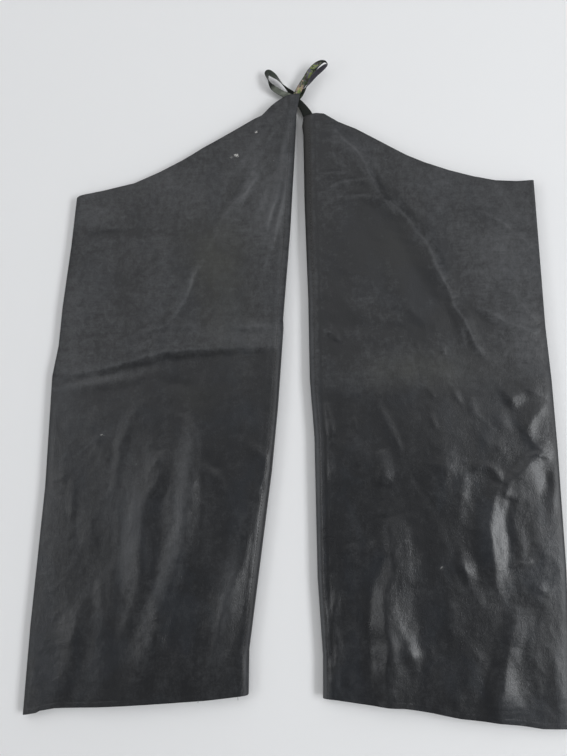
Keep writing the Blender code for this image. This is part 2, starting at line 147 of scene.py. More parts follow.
LEFT_CREASES = [
    Crease(((-96, -113), (-111, -133), (-120, -163), (-123, -187)), 6, 8, 1.1, 0.35),
    Crease(((-23, -41), (-43, -71), (-59, -98), (-76, -141), (-92, -174)), 9, 11, 2.4, 0.40),
    Crease(((-33, -82), (-69, -142), (-108, -187), (-128, -227), (-146, -263)), 9, 13, 2.7, 0.35),
    Crease(((-142, -260), (-162, -286), (-174, -322), (-190, -352), (-206, -377)), 7, 14, 3.7, 0.30),
    Crease(((-13, -65), (-22, -143), (-36, -187), (-49, -220)), 6, 8, 2.9, 0.30),
    Crease(((-7, -83), (-12, -151), (-26, -204), (-34, -247)), 5, 6, 2.6, 0.30),
    Crease(((-28, -160), (-39, -203), (-49, -263)), 5, 6, 1.3, 0.30),
    Crease(((-17, -167), (-30, -227), (-46, -279)), 6, 6, 1.3, 0.35),
    Crease(((-3, -28), (-13, -83), (-20, -133)), 6, 8, 1.6, 0.40),
    Crease(((-15, -251), (-21, -316), (-26, -368)), 7, 11, 0.9, 0.50),
    Crease(((-81, -158), (-105, -208), (-116, -268), (-107, -330)), 13, 19, 1.2, 0.60),
    Crease(((-241, -107), (-170, -75), (-106, -78)), 13, 16, 1.0, 0.60),
    Crease(((-345, -218), (-316, -214), (-287, -212), (-252, -206)), 6, 8, -1.6, 0.30),
    Crease(((-341, -193), (-303, -187), (-252, -179), (-205, -187)), 9, 10, 0.7, 0.50),
    Crease(((-369, -274), (-327, -261), (-284, -266)), 12, 13, 0.8, 0.60),
    Crease(((-218, -221), (-204, -245), (-216, -295), (-232, -327)), 12, 16, 1.3, 0.55),
    Crease(((-325, -325), (-283, -313), (-232, -327), (-189, -315)), 10, 13, 0.9, 0.55),
    Crease(((-335, -375), (-295, -363), (-248, -370)), 10, 13, 0.8, 0.55),
    Crease(((-382, -391), (-342, -358), (-330, -308), (-325, -261)), 12, 14, 1.2, 0.60),
    Crease(((-290, -181), (-261, -236), (-270, -303)), 13, 14, 0.9, 0.70),
    Crease(((-396, -445), (-341, -444), (-278, -433), (-238, -423), (-194, -414), (-135, -411), (-68, -409), (-13, -405)), 58, 10, 4.2, 0.25),
    Crease(((-392, -473), (-362, -470), (-320, -465), (-271, -460), (-229, -452)), 10, 10, 1.2, 0.40),
    Crease(((-213, -460), (-193, -465), (-164, -469)), 10, 10, -0.9, 0.45),
    Crease(((-263, -429), (-244, -406), (-218, -390), (-188, -381)), 6, 10, 1.6, 0.35),
    Crease(((-254, -383), (-201, -373), (-149, -375)), 10, 8, 1.6, 0.35),
    Crease(((-100, -376), (-49, -376), (-13, -370)), 17, 8, 2.1, 0.35),
    Crease(((-140, -447), (-143, -472), (-138, -495)), 6, 6, 0.7, 0.40),
    Crease(((-90, -428), (-96, -476), (-105, -523)), 8, 10, 0.7, 0.50),
    Crease(((-229, -487), (-257, -519), (-270, -554), (-275, -595), (-278, -627)), 10, 11, 1.2, 0.40),
    Crease(((-377, -595), (-361, -579), (-339, -564), (-313, -548), (-299, -548)), 6, 10, 0.3, 0.50),
    Crease(((-361, -502), (-333, -522), (-310, -519), (-274, -503)), 14, 14, 0.9, 0.60),
    Crease(((-343, -541), (-309, -564), (-295, -589)), 11, 11, 0.8, 0.50),
    Crease(((-196, -513), (-169, -523), (-153, -552), (-149, -586)), 10, 11, 1.2, 0.40),
    Crease(((-158, -548), (-162, -589), (-165, -633), (-167, -679), (-170, -719), (-180, -749), (-187, -777), (-201, -810), (-208, -846), (-220, -879), (-232, -920)), 19, 30, 6.2, 0.42),
    Crease(((-211, -567), (-207, -595), (-213, -624), (-225, -645), (-233, -679), (-235, -726), (-235, -779), (-243, -823)), 16, 26, 4.8, 0.42),
    Crease(((-54, -648), (-66, -694), (-81, -754), (-98, -808), (-110, -859), (-117, -929)), 21, 30, 5.8, 0.40),
    Crease(((-331, -788), (-336, -828), (-344, -867), (-353, -906), (-367, -951)), 19, 21, 2.6, 0.45),
    Crease(((-31, -568), (-34, -599), (-38, -628)), 6, 16, 2.2, 0.30),
    Crease(((-226, -602), (-214, -589), (-204, -573)), 10, 10, 1.0, 0.40),
    Crease(((-250, -808), (-256, -835), (-265, -862)), 14, 13, 1.2, 0.50),
    Crease(((-146, -595), (-127, -605), (-112, -619), (-106, -643)), 8, 14, 1.6, 0.35),
    Crease(((-81, -748), (-100, -793), (-113, -847), (-126, -900)), 6, 8, 1.2, 0.30),
    Crease(((-47, -678), (-63, -739), (-81, -799), (-91, -858), (-101, -931)), 14, 16, -0.9, 0.45),
    Crease(((-73, -555), (-54, -574), (-32, -580)), 10, 11, 1.0, 0.40),
    Crease(((-303, -766), (-300, -791), (-299, -818)), 10, 10, 0.8, 0.50),
    Crease(((-350, -614), (-352, -649), (-351, -680)), 8, 10, 0.8, 0.45),
    Crease(((-319, -649), (-321, -696), (-316, -742)), 14, 16, 1.0, 0.60),
    Crease(((-290, -742), (-286, -802), (-293, -863), (-285, -937)), 16, 18, 1.3, 0.60),
    Crease(((-211, -852), (-199, -890), (-203, -934)), 14, 14, 1.2, 0.55),
    Crease(((-168, -800), (-161, -860), (-166, -933)), 19, 16, 1.2, 0.60),
    Crease(((-77, -872), (-71, -904), (-77, -931)), 10, 13, 1.8, 0.40),
    Crease(((-218, -819), (-209, -827), (-199, -828)), 5, 5, 0.7, 0.40),
    Crease(((-393, -618), (-373, -614), (-360, -608)), 6, 8, 1.0, 0.35),
    Crease(((-139, -617), (-145, -679), (-131, -740), (-140, -800)), 16, 19, 1.2, 0.60),
]

RIGHT_CREASES = [
    Crease(((64, -45), (83, -70), (108, -95), (124, -129), (143, -167)), 13, 19, 5.8, 0.16),
    Crease(((140, -163), (164, -187), (189, -218), (210, -248), (223, -281), (238, -313), (251, -342)), 20, 27, 8.0, 0.16),
    Crease(((242, -326), (254, -352), (268, -377), (287, -422)), 14, 13, 3.5, 0.20),
    Crease(((78, -46), (113, -85), (139, -123)), 7, 10, 1.3, 0.35),
    Crease(((102, -105), (122, -139), (144, -170), (160, -197)), 4, 6, 1.3, 0.25),
    Crease(((142, -220), (149, -256), (159, -295), (179, -341), (206, -370)), 23, 14, 1.6, 0.50),
    Crease(((44, -126), (70, -125), (97, -128)), 6, 8, 1.6, 0.30),
    Crease(((53, -152), (85, -141), (111, -139), (135, -153)), 7, 8, 2.1, 0.30),
    Crease(((61, -170), (93, -166), (133, -170), (160, -187)), 9, 13, 2.4, 0.35),
    Crease(((49, -72), (68, -66), (85, -63)), 7, 8, 1.3, 0.40),
    Crease(((55, -193), (83, -231), (95, -274)), 12, 16, 1.2, 0.50),
    Crease(((48, -253), (76, -273), (95, -309)), 12, 13, 0.9, 0.55),
    Crease(((66, -312), (91, -345), (125, -371)), 13, 14, 1.0, 0.55),
    Crease(((166, -337), (200, -366), (239, -380)), 12, 13, 0.9, 0.50),
    Crease(((281, -192), (312, -206), (345, -230), (377, -260)), 13, 13, 2.4, 0.30),
    Crease(((179, -162), (210, -199), (240, -229)), 10, 11, 0.6, 0.50),
    Crease(((62, -86), (75, -104), (97, -125)), 6, 8, 1.4, 0.30),
    Crease(((259, -171), (297, -189), (336, -200), (372, -215)), 13, 14, 0.8, 0.60),
    Crease(((272, -349), (299, -356), (322, -369), (351, -385), (383, -395)), 17, 13, 2.6, 0.30),
    Crease(((324, -306), (347, -341), (383, -378)), 17, 13, 2.1, 0.40),
    Crease(((263, -292), (297, -296), (339, -290), (384, -295)), 10, 11, 0.8, 0.50),
    Crease(((234, -236), (280, -244), (326, -252), (382, -282)), 13, 14, 0.8, 0.60),
    Crease(((174, -91), (220, -147), (282, -162)), 17, 19, 0.8, 0.70),
    Crease(((270, -381), (285, -412), (301, -434)), 7, 8, 1.3, 0.30),
    Crease(((255, -368), (263, -393), (269, -418)), 6, 8, 1.3, 0.30),
    Crease(((45, -381), (58, -386), (70, -400)), 5, 6, 2.1, 0.30),
    Crease(((55, -370), (66, -384), (75, -402)), 4, 6, 1.6, 0.30),
    Crease(((85, -385), (86, -396)), 4, 4, 0.6, 0.40),
    Crease(((97, -387), (100, -395)), 4, 4, 0.8, 0.40),
    Crease(((113, -385), (114, -396)), 4, 4, 0.6, 0.40),
    Crease(((122, -390), (127, -401)), 4, 4, 0.6, 0.40),
    Crease(((144, -397), (150, -410)), 4, 5, 0.7, 0.40),
    Crease(((170, -394), (173, -409)), 4, 5, 0.6, 0.40),
    Crease(((191, -404), (199, -420)), 4, 5, 0.7, 0.40),
    Crease(((216, -417), (220, -430)), 4, 5, 0.8, 0.40),
    Crease(((233, -408), (237, -429)), 4, 5, 1.3, 0.35),
    Crease(((44, -370), (91, -377), (145, -384), (206, -382)), 13, 13, -0.8, 0.50),
    Crease(((40, -470), (74, -476), (109, -474), (142, -480), (173, -474), (206, -481)), 64, 26, 1.6, 0.60),
    Crease(((74, -478), (81, -487), (82, -495)), 5, 5, 0.5, 0.40),
    Crease(((101, -478), (105, -489)), 5, 5, 0.5, 0.40),
    Crease(((133, -482), (138, -491)), 5, 5, 0.5, 0.40),
    Crease(((204, -473), (213, -483), (218, -495)), 6, 6, 0.8, 0.35),
    Crease(((243, -474), (252, -492), (260, -502)), 6, 6, 0.8, 0.30),
    Crease(((273, -489), (278, -514), (292, -526)), 8, 8, 0.9, 0.35),
    Crease(((212, -516), (220, -541)), 5, 5, 0.8, 0.30),
    Crease(((52, -496), (57, -525), (61, -556)), 8, 8, 2.2, 0.20),
    Crease(((57, -574), (61, -599), (62, -626)), 8, 8, 1.7, 0.25),
    Crease(((130, -491), (143, -522), (159, -556), (168, -583)), 8, 10, 1.4, 0.20),
    Crease(((168, -583), (183, -608), (203, -638), (220, -668), (231, -691)), 10, 8, -0.6, 0.35),
    Crease(((135, -570), (138, -586), (140, -605), (138, -629)), 13, 14, 2.9, 0.28),
    Crease(((94, -519), (100, -540)), 5, 5, 0.9, 0.30),
    Crease(((108, -556), (113, -590), (107, -632)), 11, 13, 1.2, 0.50),
    Crease(((74, -549), (83, -589), (73, -635)), 10, 13, 1.0, 0.50),
    Crease(((220, -556), (234, -590), (224, -632)), 16, 16, 1.3, 0.55),
    Crease(((195, -602), (219, -593), (249, -602)), 10, 11, 0.9, 0.45),
    Crease(((212, -620), (215, -647), (211, -671)), 10, 10, 0.6, 0.50),
    Crease(((248, -626), (253, -653), (246, -682)), 11, 13, 0.6, 0.50),
    Crease(((318, -478), (331, -492), (342, -510)), 22, 10, 2.6, 0.20),
    Crease(((348, -472), (368, -484), (388, -494)), 14, 10, 1.6, 0.30),
    Crease(((351, -551), (360, -533), (373, -515), (385, -503)), 18, 11, 2.2, 0.25),
    Crease(((354, -545), (371, -566), (393, -582)), 14, 11, 2.4, 0.22),
    Crease(((347, -581), (367, -578), (393, -584)), 6, 13, 1.8, 0.25),
    Crease(((376, -581), (349, -599), (328, -623), (318, -646)), 35, 11, 3.4, 0.32),
    Crease(((372, -596), (383, -617), (384, -655)), 10, 14, -1.6, 0.35),
    Crease(((395, -602), (388, -634), (390, -667)), 10, 10, 1.2, 0.40),
    Crease(((293, -514), (316, -526), (333, -548)), 11, 11, 1.0, 0.40),
    Crease(((283, -554), (306, -563), (323, -575)), 11, 11, 1.0, 0.40),
    Crease(((272, -608), (281, -597), (295, -596), (308, -605), (314, -623)), 8, 11, 1.5, 0.30),
    Crease(((314, -620), (303, -646), (296, -676), (297, -713), (300, -743), (306, -781)), 21, 22, 5.2, 0.24),
    Crease(((324, -637), (321, -690), (321, -734)), 10, 14, -1.2, 0.35),
    Crease(((263, -602), (257, -623), (253, -647)), 10, 10, 1.0, 0.40),
    Crease(((326, -664), (331, -687), (339, -711), (341, -734)), 11, 11, 0.8, 0.45),
    Crease(((251, -718), (256, -744), (264, -773)), 14, 11, 2.6, 0.30),
    Crease(((264, -773), (278, -798), (295, -807)), 14, 13, 0.7, 0.50),
    Crease(((235, -793), (237, -822), (240, -851)), 13, 13, 0.7, 0.50),
    Crease(((320, -743), (341, -738), (358, -735)), 6, 6, 1.1, 0.30),
    Crease(((348, -769), (365, -774), (382, -785)), 11, 8, 1.1, 0.35),
    Crease(((348, -774), (362, -791), (381, -802)), 22, 14, 1.0, 0.45),
    Crease(((360, -676), (368, -710), (384, -733)), 13, 13, 0.7, 0.45),
    Crease(((142, -668), (152, -714), (153, -748), (144, -777), (139, -807), (140, -833), (144, -860), (143, -889), (143, -924), (148, -972), (151, -997)), 38, 21, 9.6, 0.28),
    Crease(((169, -855), (177, -875), (187, -898)), 16, 14, 2.2, 0.30),
    Crease(((121, -707), (126, -722), (134, -736)), 10, 10, 1.4, 0.35),
    Crease(((87, -713), (90, -731), (98, -749)), 10, 10, 1.4, 0.35),
    Crease(((201, -852), (206, -880), (202, -914)), 11, 13, 1.0, 0.45),
    Crease(((234, -922), (242, -935), (245, -952)), 10, 10, 0.9, 0.40),
    Crease(((63, -764), (67, -785), (62, -811), (61, -837), (68, -863), (66, -889), (63, -918), (73, -941)), 11, 11, 3.3, 0.25),
    Crease(((121, -859), (124, -893), (125, -928)), 8, 8, 1.2, 0.30),
    Crease(((72, -901), (85, -912), (100, -928)), 11, 10, 0.9, 0.40),
    Crease(((96, -781), (98, -816), (92, -854)), 13, 13, 1.0, 0.55),
    Crease(((333, -797), (326, -835), (316, -869), (308, -903), (301, -939), (296, -981)), 32, 19, 3.4, 0.32),
    Crease(((318, -855), (311, -883), (306, -917), (298, -984)), 38, 21, 3.4, 0.34),
    Crease(((363, -837), (355, -876), (359, -932)), 14, 16, 1.4, 0.45),
    Crease(((262, -850), (269, -893), (259, -943)), 19, 19, 1.4, 0.60),
    Crease(((374, -848), (383, -898), (386, -953)), 13, 14, 1.2, 0.50),
]

# The hidden sides hang against the wall: a positive height stands off it, a negative one presses towards it.
LEFT_BACK_CREASES = [
    Crease(((-20, -70), (-60, -160), (-130, -270)), 12, 16, 2.2, 0.40),
    Crease(((-10, -120), (-30, -230), (-60, -330)), 9, 12, 1.8, 0.35),
    Crease(((-60, -110), (-140, -190), (-220, -250)), 14, 14, 1.6, 0.50),
    Crease(((-385, -440), (-250, -425), (-120, -430), (-25, -420)), 40, 9, 3.0, 0.30),
    Crease(((-370, -480), (-290, -470), (-220, -450)), 9, 12, -1.1, 0.35),
    Crease(((-300, -520), (-280, -640), (-300, -780), (-320, -900)), 20, 14, 4.2, 0.25),
    Crease(((-210, -560), (-190, -680), (-215, -800), (-225, -930)), 18, 14, 3.8, 0.30),
    Crease(((-110, -540), (-120, -660), (-100, -760), (-130, -900)), 16, 12, 3.0, 0.30),
    Crease(((-160, -620), (-150, -720), (-170, -800)), 9, 10, -1.0, 0.40),
    Crease(((-340, -250), (-270, -270), (-210, -260)), 10, 10, 1.1, 0.50),
    Crease(((-360, -620), (-350, -720), (-370, -820)), 12, 12, 1.8, 0.45),
    Crease(((-70, -600), (-60, -700), (-80, -820)), 12, 10, 1.8, 0.40),
    Crease(((-240, -200), (-230, -300), (-260, -390)), 16, 16, 1.5, 0.60),
    Crease(((-330, -840), (-350, -900), (-360, -970)), 12, 10, 2.0, 0.35),
]

RIGHT_BACK_CREASES = [
    Crease(((40, -60), (110, -150), (190, -270), (250, -380)), 18, 10, 3.0, 0.25),
    Crease(((60, -160), (110, -260), (160, -370)), 12, 16, 2.0, 0.40),
    Crease(((250, -190), (320, -230), (375, -290)), 14, 10, 1.6, 0.45),
    Crease(((40, -430), (150, -440), (260, -432), (385, -425)), 42, 10, 3.0, 0.30),
    Crease(((60, -395), (130, -400), (200, -398)), 9, 9, -1.1, 0.35),
    Crease(((110, -520), (130, -640), (110, -760), (140, -930)), 22, 12, 4.4, 0.22),
    Crease(((220, -540), (250, -640), (230, -760), (250, -900)), 20, 14, 3.8, 0.30),
    Crease(((330, -500), (300, -600), (320, -720)), 18, 12, 3.6, 0.25),
    Crease(((350, -740), (330, -840), (345, -960)), 18, 12, 3.2, 0.30),
    Crease(((290, -470), (330, -500), (380, -510)), 10, 10, 2.0, 0.30),
    Crease(((170, -620), (180, -720), (165, -820)), 9, 10, -1.0, 0.40),
    Crease(((70, -560), (75, -680), (65, -800)), 9, 8, 1.8, 0.30),
    Crease(((330, -300), (350, -350), (340, -400)), 12, 12, 1.2, 0.50),
]

# Where the leather turns from dusty to bare: a line across each leg, as (x, z).
LEFT_TURN = [(-430, -459), (-384, -466), (-341, -455), (-278, -438), (-238, -426), (-194, -417), (-135, -415), (-68, -412), (-4, -409)]
RIGHT_TURN = [(12, -468), (59, -471), (136, -471), (213, -476), (288, -473), (348, -460), (407, -454)]

# Brownish, worn patches, in millimetres.
TINTS = [
    Patch(-114, -306, 41.6, 99.2, 8, 1.00),
    Patch(-154, -488, 32.0, 19.2, 0, 0.50),
    Patch(198, -448, 80.0, 25.6, 0, 1.00),
    Patch(163, -256, 41.6, 48.0, 0, 0.35),
    Patch(-134, -247, 64.0, 48.0, 0, 0.50),
]
# Dusty, rubbed patches, and painted light: paler patches where ridges and folds catch the light, darker ones on shaded
# flanks.
DUST_AND_PAINTED_LIGHT = [
    Patch(-282, -326, 96.0, 96.0, 0, 0.15),
    Patch(-203, -134, 112.0, 41.6, -25, 0.35),
    Patch(-69, -114, 38.4, 96.0, 15, 0.25),
    Patch(-334, -181, 41.6, 35.2, 0, 0.35),
    Patch(-362, -358, 19.2, 80.0, 0, 0.35),
    Patch(-100, -388, 96.0, 19.2, 0, 0.35),
    Patch(-68, -380, 64.0, 48.0, 0, 0.10),
    Patch(-43, -183, 16.0, 80.0, -12, 0.30),
    Patch(-266, -302, 48.0, 35.2, 0, -0.20),
    Patch(-282, -212, 80.0, 8.0, -4, -0.25),
    Patch(-223, -377, 48.0, 19.2, 0, -0.15),
    Patch(-123, -484, 96.0, 35.2, 0, -0.12),
    Patch(-347, -424, 48.0, 12.8, -8, 0.15),
    Patch(-310, -457, 73.6, 6.1, 10, 0.65),
    Patch(-187, -465, 25.6, 8.0, 4, -0.30),
    Patch(215, -354, 57.6, 96.0, 20, -0.20),
    Patch(136, -525, 80.0, 32.0, 0, -0.10),
    Patch(-13, -151, 3.5, 89.6, -5, 0.35),
    Patch(-26, -133, 3.8, 80.0, -12, 0.30),
    Patch(-46, -166, 4.8, 89.6, -20, 0.22),
    Patch(-5, -117, 2.9, 70.4, -3, 0.30),
    Patch(-36, -233, 3.8, 64.0, -8, 0.25),
    Patch(-89, -181, 8.0, 70.4, -27, 0.20),
    Patch(-20, -267, 3.2, 64.0, -3, 0.20),
    Patch(-66, -80, 4.8, 48.0, -35, 0.20),
    Patch(-168, -595, 12.8, 64.0, -3, 0.50),
    Patch(-179, -694, 12.8, 67.2, -9, 0.60),
    Patch(-219, -801, 9.6, 54.4, -25, 0.50),
    Patch(-256, -645, 12.8, 64.0, 3, 0.35),
    Patch(-100, -793, 11.2, 105.6, -11, 0.50),
    Patch(-330, -564, 32.0, 2.1, 40, 0.40),
    Patch(-249, -787, 9.6, 48.0, 0, 0.25),
    Patch(-82, -617, 41.6, 96.0, 0, -0.12),
    Patch(207, -706, 64.0, 96.0, 0, -0.15),
    Patch(241, -541, 48.0, 64.0, 0, -0.10),
    Patch(283, -146, 112.0, 38.4, -20, 0.22),
    Patch(325, -261, 80.0, 80.0, 0, 0.30),
    Patch(78, -70, 40.0, 22.4, -45, 0.25),
    Patch(351, -388, 32.0, 48.0, 0, 0.25),
    Patch(144, -400, 96.0, 16.0, 0, -0.10),
    Patch(387, -423, 25.6, 22.4, 0, 0.30),
    Patch(108, -238, 54.4, 70.4, 0, -0.36),
    Patch(70, -319, 22.4, 112.0, 0, -0.15),
    Patch(189, -289, 22.4, 73.6, 33, -0.42),
    Patch(157, -187, 19.2, 14.4, 0, 0.20),
    Patch(126, -106, 12.8, 54.4, 33, 0.25),
    Patch(91, -364, 48.0, 16.0, 0, -0.25),
    Patch(192, -377, 48.0, 12.8, 10, -0.25),
    Patch(288, -375, 41.6, 16.0, -20, -0.25),
    Patch(334, -216, 48.0, 8.0, -26, -0.20),
    Patch(49, -68, 11.2, 41.6, 0, -0.25),
    Patch(86, -131, 41.6, 16.0, 0, -0.10),
    Patch(237, -94, 32.0, 25.6, 0, 0.10),
    Patch(90, -447, 48.0, 19.2, 0, 0.12),
    Patch(280, -244, 48.0, 19.2, -30, 0.10),
    Patch(198, -451, 70.4, 19.2, 0, 0.12),
]
# Pale flecks and scuffs.
FLECKS = [
    Patch(-92, -88, 5.8, 3.2, -14, 1.00),
    Patch(-101, -91, 4.2, 1.9, -10, 0.70),
    Patch(-109, -93, 3.8, 1.4, -12, 0.40),
    Patch(-59, -50, 3.4, 2.4, 0, 1.00),
    Patch(-31, -99, 1.3, 1.3, 0, 0.60),
    Patch(-66, -51, 1.9, 1.1, 0, 0.40),
    Patch(-76, -64, 1.6, 1.3, 0, 0.40),
    Patch(-305, -546, 6.4, 1.8, -12, 0.62),
    Patch(-311, -549, 4.0, 1.3, 20, 0.35),
    Patch(223, -746, 5.4, 2.1, 30, 0.60),
    Patch(-209, -827, 6.4, 1.0, -5, 0.40),
    Patch(-247, -592, 2.2, 2.2, 0, 0.50),
    Patch(-303, -697, 2.2, 2.6, 0, 0.40),
    Patch(-206, -566, 2.6, 1.9, 0, 0.35),
    Patch(75, -737, 1.6, 1.6, 0, 0.40),
    Patch(-89, -287, 1.8, 2.1, 0, 0.45),
]


# ---- the legs' form, as in the CAD --------------------------------------------------------------------------------
def blend(t):
    t = np.clip(t, 0.0, 1.0)
    return t * t * (3 - 2 * t)


def side_line(a, b, rows, across, share):
    at = [0.0] + [r.share for r in rows] + [1.0]
    bow = np.interp(share, at, [0.0] + [r.bow for r in rows] + [0.0]) * MM
    p = np.outer(1 - share, (a.x * MM, a.z * MM)) + np.outer(share, (b.x * MM, b.z * MM))
    return p + np.outer(bow, across)


def downward(a, b):
    n = np.array([a.z - b.z, b.x - a.x], float)
    n /= np.hypot(*n)
    return n if n[1] < 0 else -n


def leg_plan(leg, u, v):
    """(x, z) on a grid of shares u, from the long seam to the short one, and v, from the top to the hem."""
    c = side_line(leg.point, leg.hem_point, leg.centre, (1, 0), v)[:, None]
    o = side_line(leg.side, leg.hem_side, leg.outer, (1, 0), v)[:, None]
    t = side_line(leg.point, leg.side, leg.top, downward(leg.point, leg.side), u)[None]
    h = side_line(leg.hem_point, leg.hem_side, leg.hem, downward(leg.hem_point, leg.hem_side), u)[None]
    u, v = u[None, :, None], v[:, None, None]
    a, b, d, e = (np.array([k.x, k.z]) * MM for k in (leg.point, leg.side, leg.hem_point, leg.hem_side))
    corners = (1 - u) * (1 - v) * a + u * (1 - v) * b + (1 - u) * v * d + u * v * e
    return (1 - u) * c + u * o + (1 - v) * t + v * h - corners


def hem_width(leg):
    return np.hypot(leg.hem_side.x - leg.hem_point.x, leg.hem_side.z - leg.hem_point.z) * MM


def stand_off(leg, u, v):
    seam = np.interp(v, [r.down for r in leg.depth], [r.seam * MM for r in leg.depth])
    return SEAM_STAND_OFF + (seam[:, None] - SEAM_STAND_OFF) * (1 - blend(u / 0.5))


# ---- relief -------------------------------------------------------------------------------------------------------
def polyline(points, step=2.0):
    """A smooth line through the points, with places about step apart, in metres."""
    p = np.array(points, float)
    if len(p) == 2:
        p = np.array([p[0], (p[0] + p[1]) / 2, p[1]])
    p = np.vstack([2 * p[0] - p[1], p, 2 * p[-1] - p[-2]])
    out = []
    for i in range(1, len(p) - 2):
        n = max(2, int(np.hypot(*(p[i + 1] - p[i])) / step))
        t = np.arange(n)[:, None] / n
        out.append(0.5 * (2 * p[i] + (p[i + 1] - p[i - 1]) * t
                          + (2 * p[i - 1] - 5 * p[i] + 4 * p[i + 1] - p[i + 2]) * t**2
                          + (3 * p[i] - p[i - 1] - 3 * p[i + 1] + p[i + 2]) * t**3))
    out.append(p[-2:-1])
    return np.vstack(out) * MM


def crease_height(creases, plan, wobble):
    """How far the creases lift the points of a plan, in metres, and how near each point is to a crest that is rubbed, 0 to
    1. wobble shifts the crests a little, as real ones run."""
    lift, crest = np.zeros(plan.shape[:2]), np.zeros(plan.shape[:2])
    for number, c in enumerate(creases):
        line = polyline(c.line)
        reach = max(c.lit, c.shade) * MM * 2.3
        lo, hi = line.min(0) - reach, line.max(0) + reach
        near = ((plan > lo) & (plan < hi)).all(2)
        if not near.any():
            continue
        q = plan[near]
        gap = q[:, None] - line
        dist = (gap**2).sum(2)
        k = dist.argmin(1)
        run = np.gradient(line, axis=0)
        run /= np.linalg.norm(run, axis=1)[:, None]
        side = np.stack([-run[:, 1], run[:, 0]], axis=1)
        g = gap[np.arange(len(q)), k]
        s = (g * side[k]).sum(1)
        s = np.sign(s) * np.sqrt(dist[np.arange(len(q)), k])
        s = s + wobble[near] * MM * min(1.0, c.lit / 12.0)
        share = k / (len(line) - 1)
        ends = np.sin(pi * np.clip(share, 0.015, 0.985)) ** (0.5 if c.height > 3.5 else 0.7)
        ends *= 1 + 0.22 * np.sin(share * 9.0 + number * 1.7) * min(1.0, c.height / 2)
        width = np.where(s > 0, c.lit, c.shade) * MM * (0.72 + 0.28 * ends)
        r = 0.55 * c.soft
        d = np.sqrt((s / width) ** 2 + r * r) - r
        e = 0.12 + 0.5 * c.soft
        tent = 0.5 * ((1 - d) + np.sqrt((1 - d) ** 2 + e * e))
        tent = np.maximum(tent - 0.5 * (np.sqrt(1.3**2 + e * e) - 1.3), 0)
        lift[near] += c.height * MM * ends * tent
        rubbed = max(0.0, 1 - 1.6 * c.soft) * np.clip(c.height / 2.5, 0, 1)
        crest[near] = np.maximum(crest[near], rubbed * ends * np.exp(-(((s - 0.8 * MM) / (2.4 * MM)) ** 2)))
    return lift, crest


def noise(a, b, seed):
    """Smooth noise over a plane with cells of size 1, about -0.7 to 0.7, the same each run."""
    table = np.random.default_rng(seed).random((64, 64)) * 2 * pi
    gx, gy = np.cos(table), np.sin(table)
    a, b = np.broadcast_arrays(np.asarray(a, float), np.asarray(b, float))
    i, j = np.floor(a).astype(int), np.floor(b).astype(int)
    x, y = a - i, b - j
    fx, fy = (t * t * t * (t * (6 * t - 15) + 10) for t in (x, y))
    corner = {}
    for di in (0, 1):
        for dj in (0, 1):
            p, q = (i + di) % 64, (j + dj) % 64
            corner[di, dj] = gx[p, q] * (x - di) + gy[p, q] * (y - dj)
    top = corner[0, 0] * (1 - fx) + corner[1, 0] * fx
    low = corner[0, 1] * (1 - fx) + corner[1, 1] * fx
    return top * (1 - fy) + low * fy


def fine_relief(across, down, turn, seed):
    """The leather's own waviness, in metres, over places across and down the leg in millimetres. turn is 0 in the dusty
    upper part and 1 in the bare lower part, where the leather hangs in finer upright crinkles."""
    warp = 9 * noise(across / 70, down / 90, seed + 7)
    a, d = across + warp, down + 2 * warp
    wide = 1.3 * noise(a / 52, d / 130, seed)
    mid = 0.34 * (0.5 - np.abs(noise(a / 19, d / 34, seed + 1)) * 2)
    knot = 0.30 * (0.5 - np.abs(noise(a / 26 + d / 90, d / 24, seed + 2)) * 2)
    level = 0.5 * noise(a / 44 + d / 160, d / 13 + a / 120, seed + 3) * np.clip(0.5 + 1.6 * noise(a / 90, d / 60, seed + 6), 0, 1)
    fine = 0.12 * noise(a / 7.5, d / 13, seed + 4)
    grainy = 0.07 * noise(a / 4.8, d / 6, seed + 5)
    return MM * (wide * (0.65 + 0.15 * turn) + mid * (0.4 + 0.2 * turn) + knot * (0.5 + 0.1 * turn)
                 + level * (1.1 - 0.85 * turn) + fine * (0.6 - 0.15 * turn) + grainy * (1.15 - 0.5 * turn))


def below(line, plan):
    """How far each point of a plan is below a line across the leg, in metres."""
    line = np.array(line, float) * MM
    return np.interp(plan[..., 0], line[:, 0], line[:, 1]) - plan[..., 1]


def patches(rows, plan, power=2.0):
    """The summed strength of a list of patches over a plan."""
    total = np.zeros(plan.shape[:2])
    for p in rows:
        c, s = cos(radians(p.turn)), sin(radians(p.turn))
        x, z = plan[..., 0] / MM - p.x, plan[..., 1] / MM - p.z
        e = ((x * c + z * s) / p.rx) ** 2 + ((z * c - x * s) / p.rz) ** 2
        total += p.amount * np.exp(-(e ** (power / 2)))
    return total


# ---- shells -------------------------------------------------------------------------------------------------------
def stand_out(relief, reach):
    """How far each point stands out of its surroundings, -1 to 1: paler wear where the leather stands out, painted
    shade in its hollows.
    """
    soft = relief
    for _ in range(2):
        for axis in (0, 1):
            padded = np.pad(soft, [(reach + 1, reach) if k == axis else (0, 0) for k in (0, 1)], mode="edge")
            total = np.cumsum(padded, axis=axis)
            size = soft.shape[axis]
            soft = (np.take(total, range(2 * reach + 1, 2 * reach + 1 + size), axis)
                    - np.take(total, range(size), axis)) / (2 * reach + 1)
    return np.tanh((relief - soft) / (0.45 * MM))


def grid_normals(p):
    """Unit normals of a grid of points, on the side of its row direction crossed with its column direction."""
    n = np.cross(np.gradient(p, axis=1), np.gradient(p, axis=0))
    return n / np.maximum(np.linalg.norm(n, axis=2), 1e-12)[..., None]


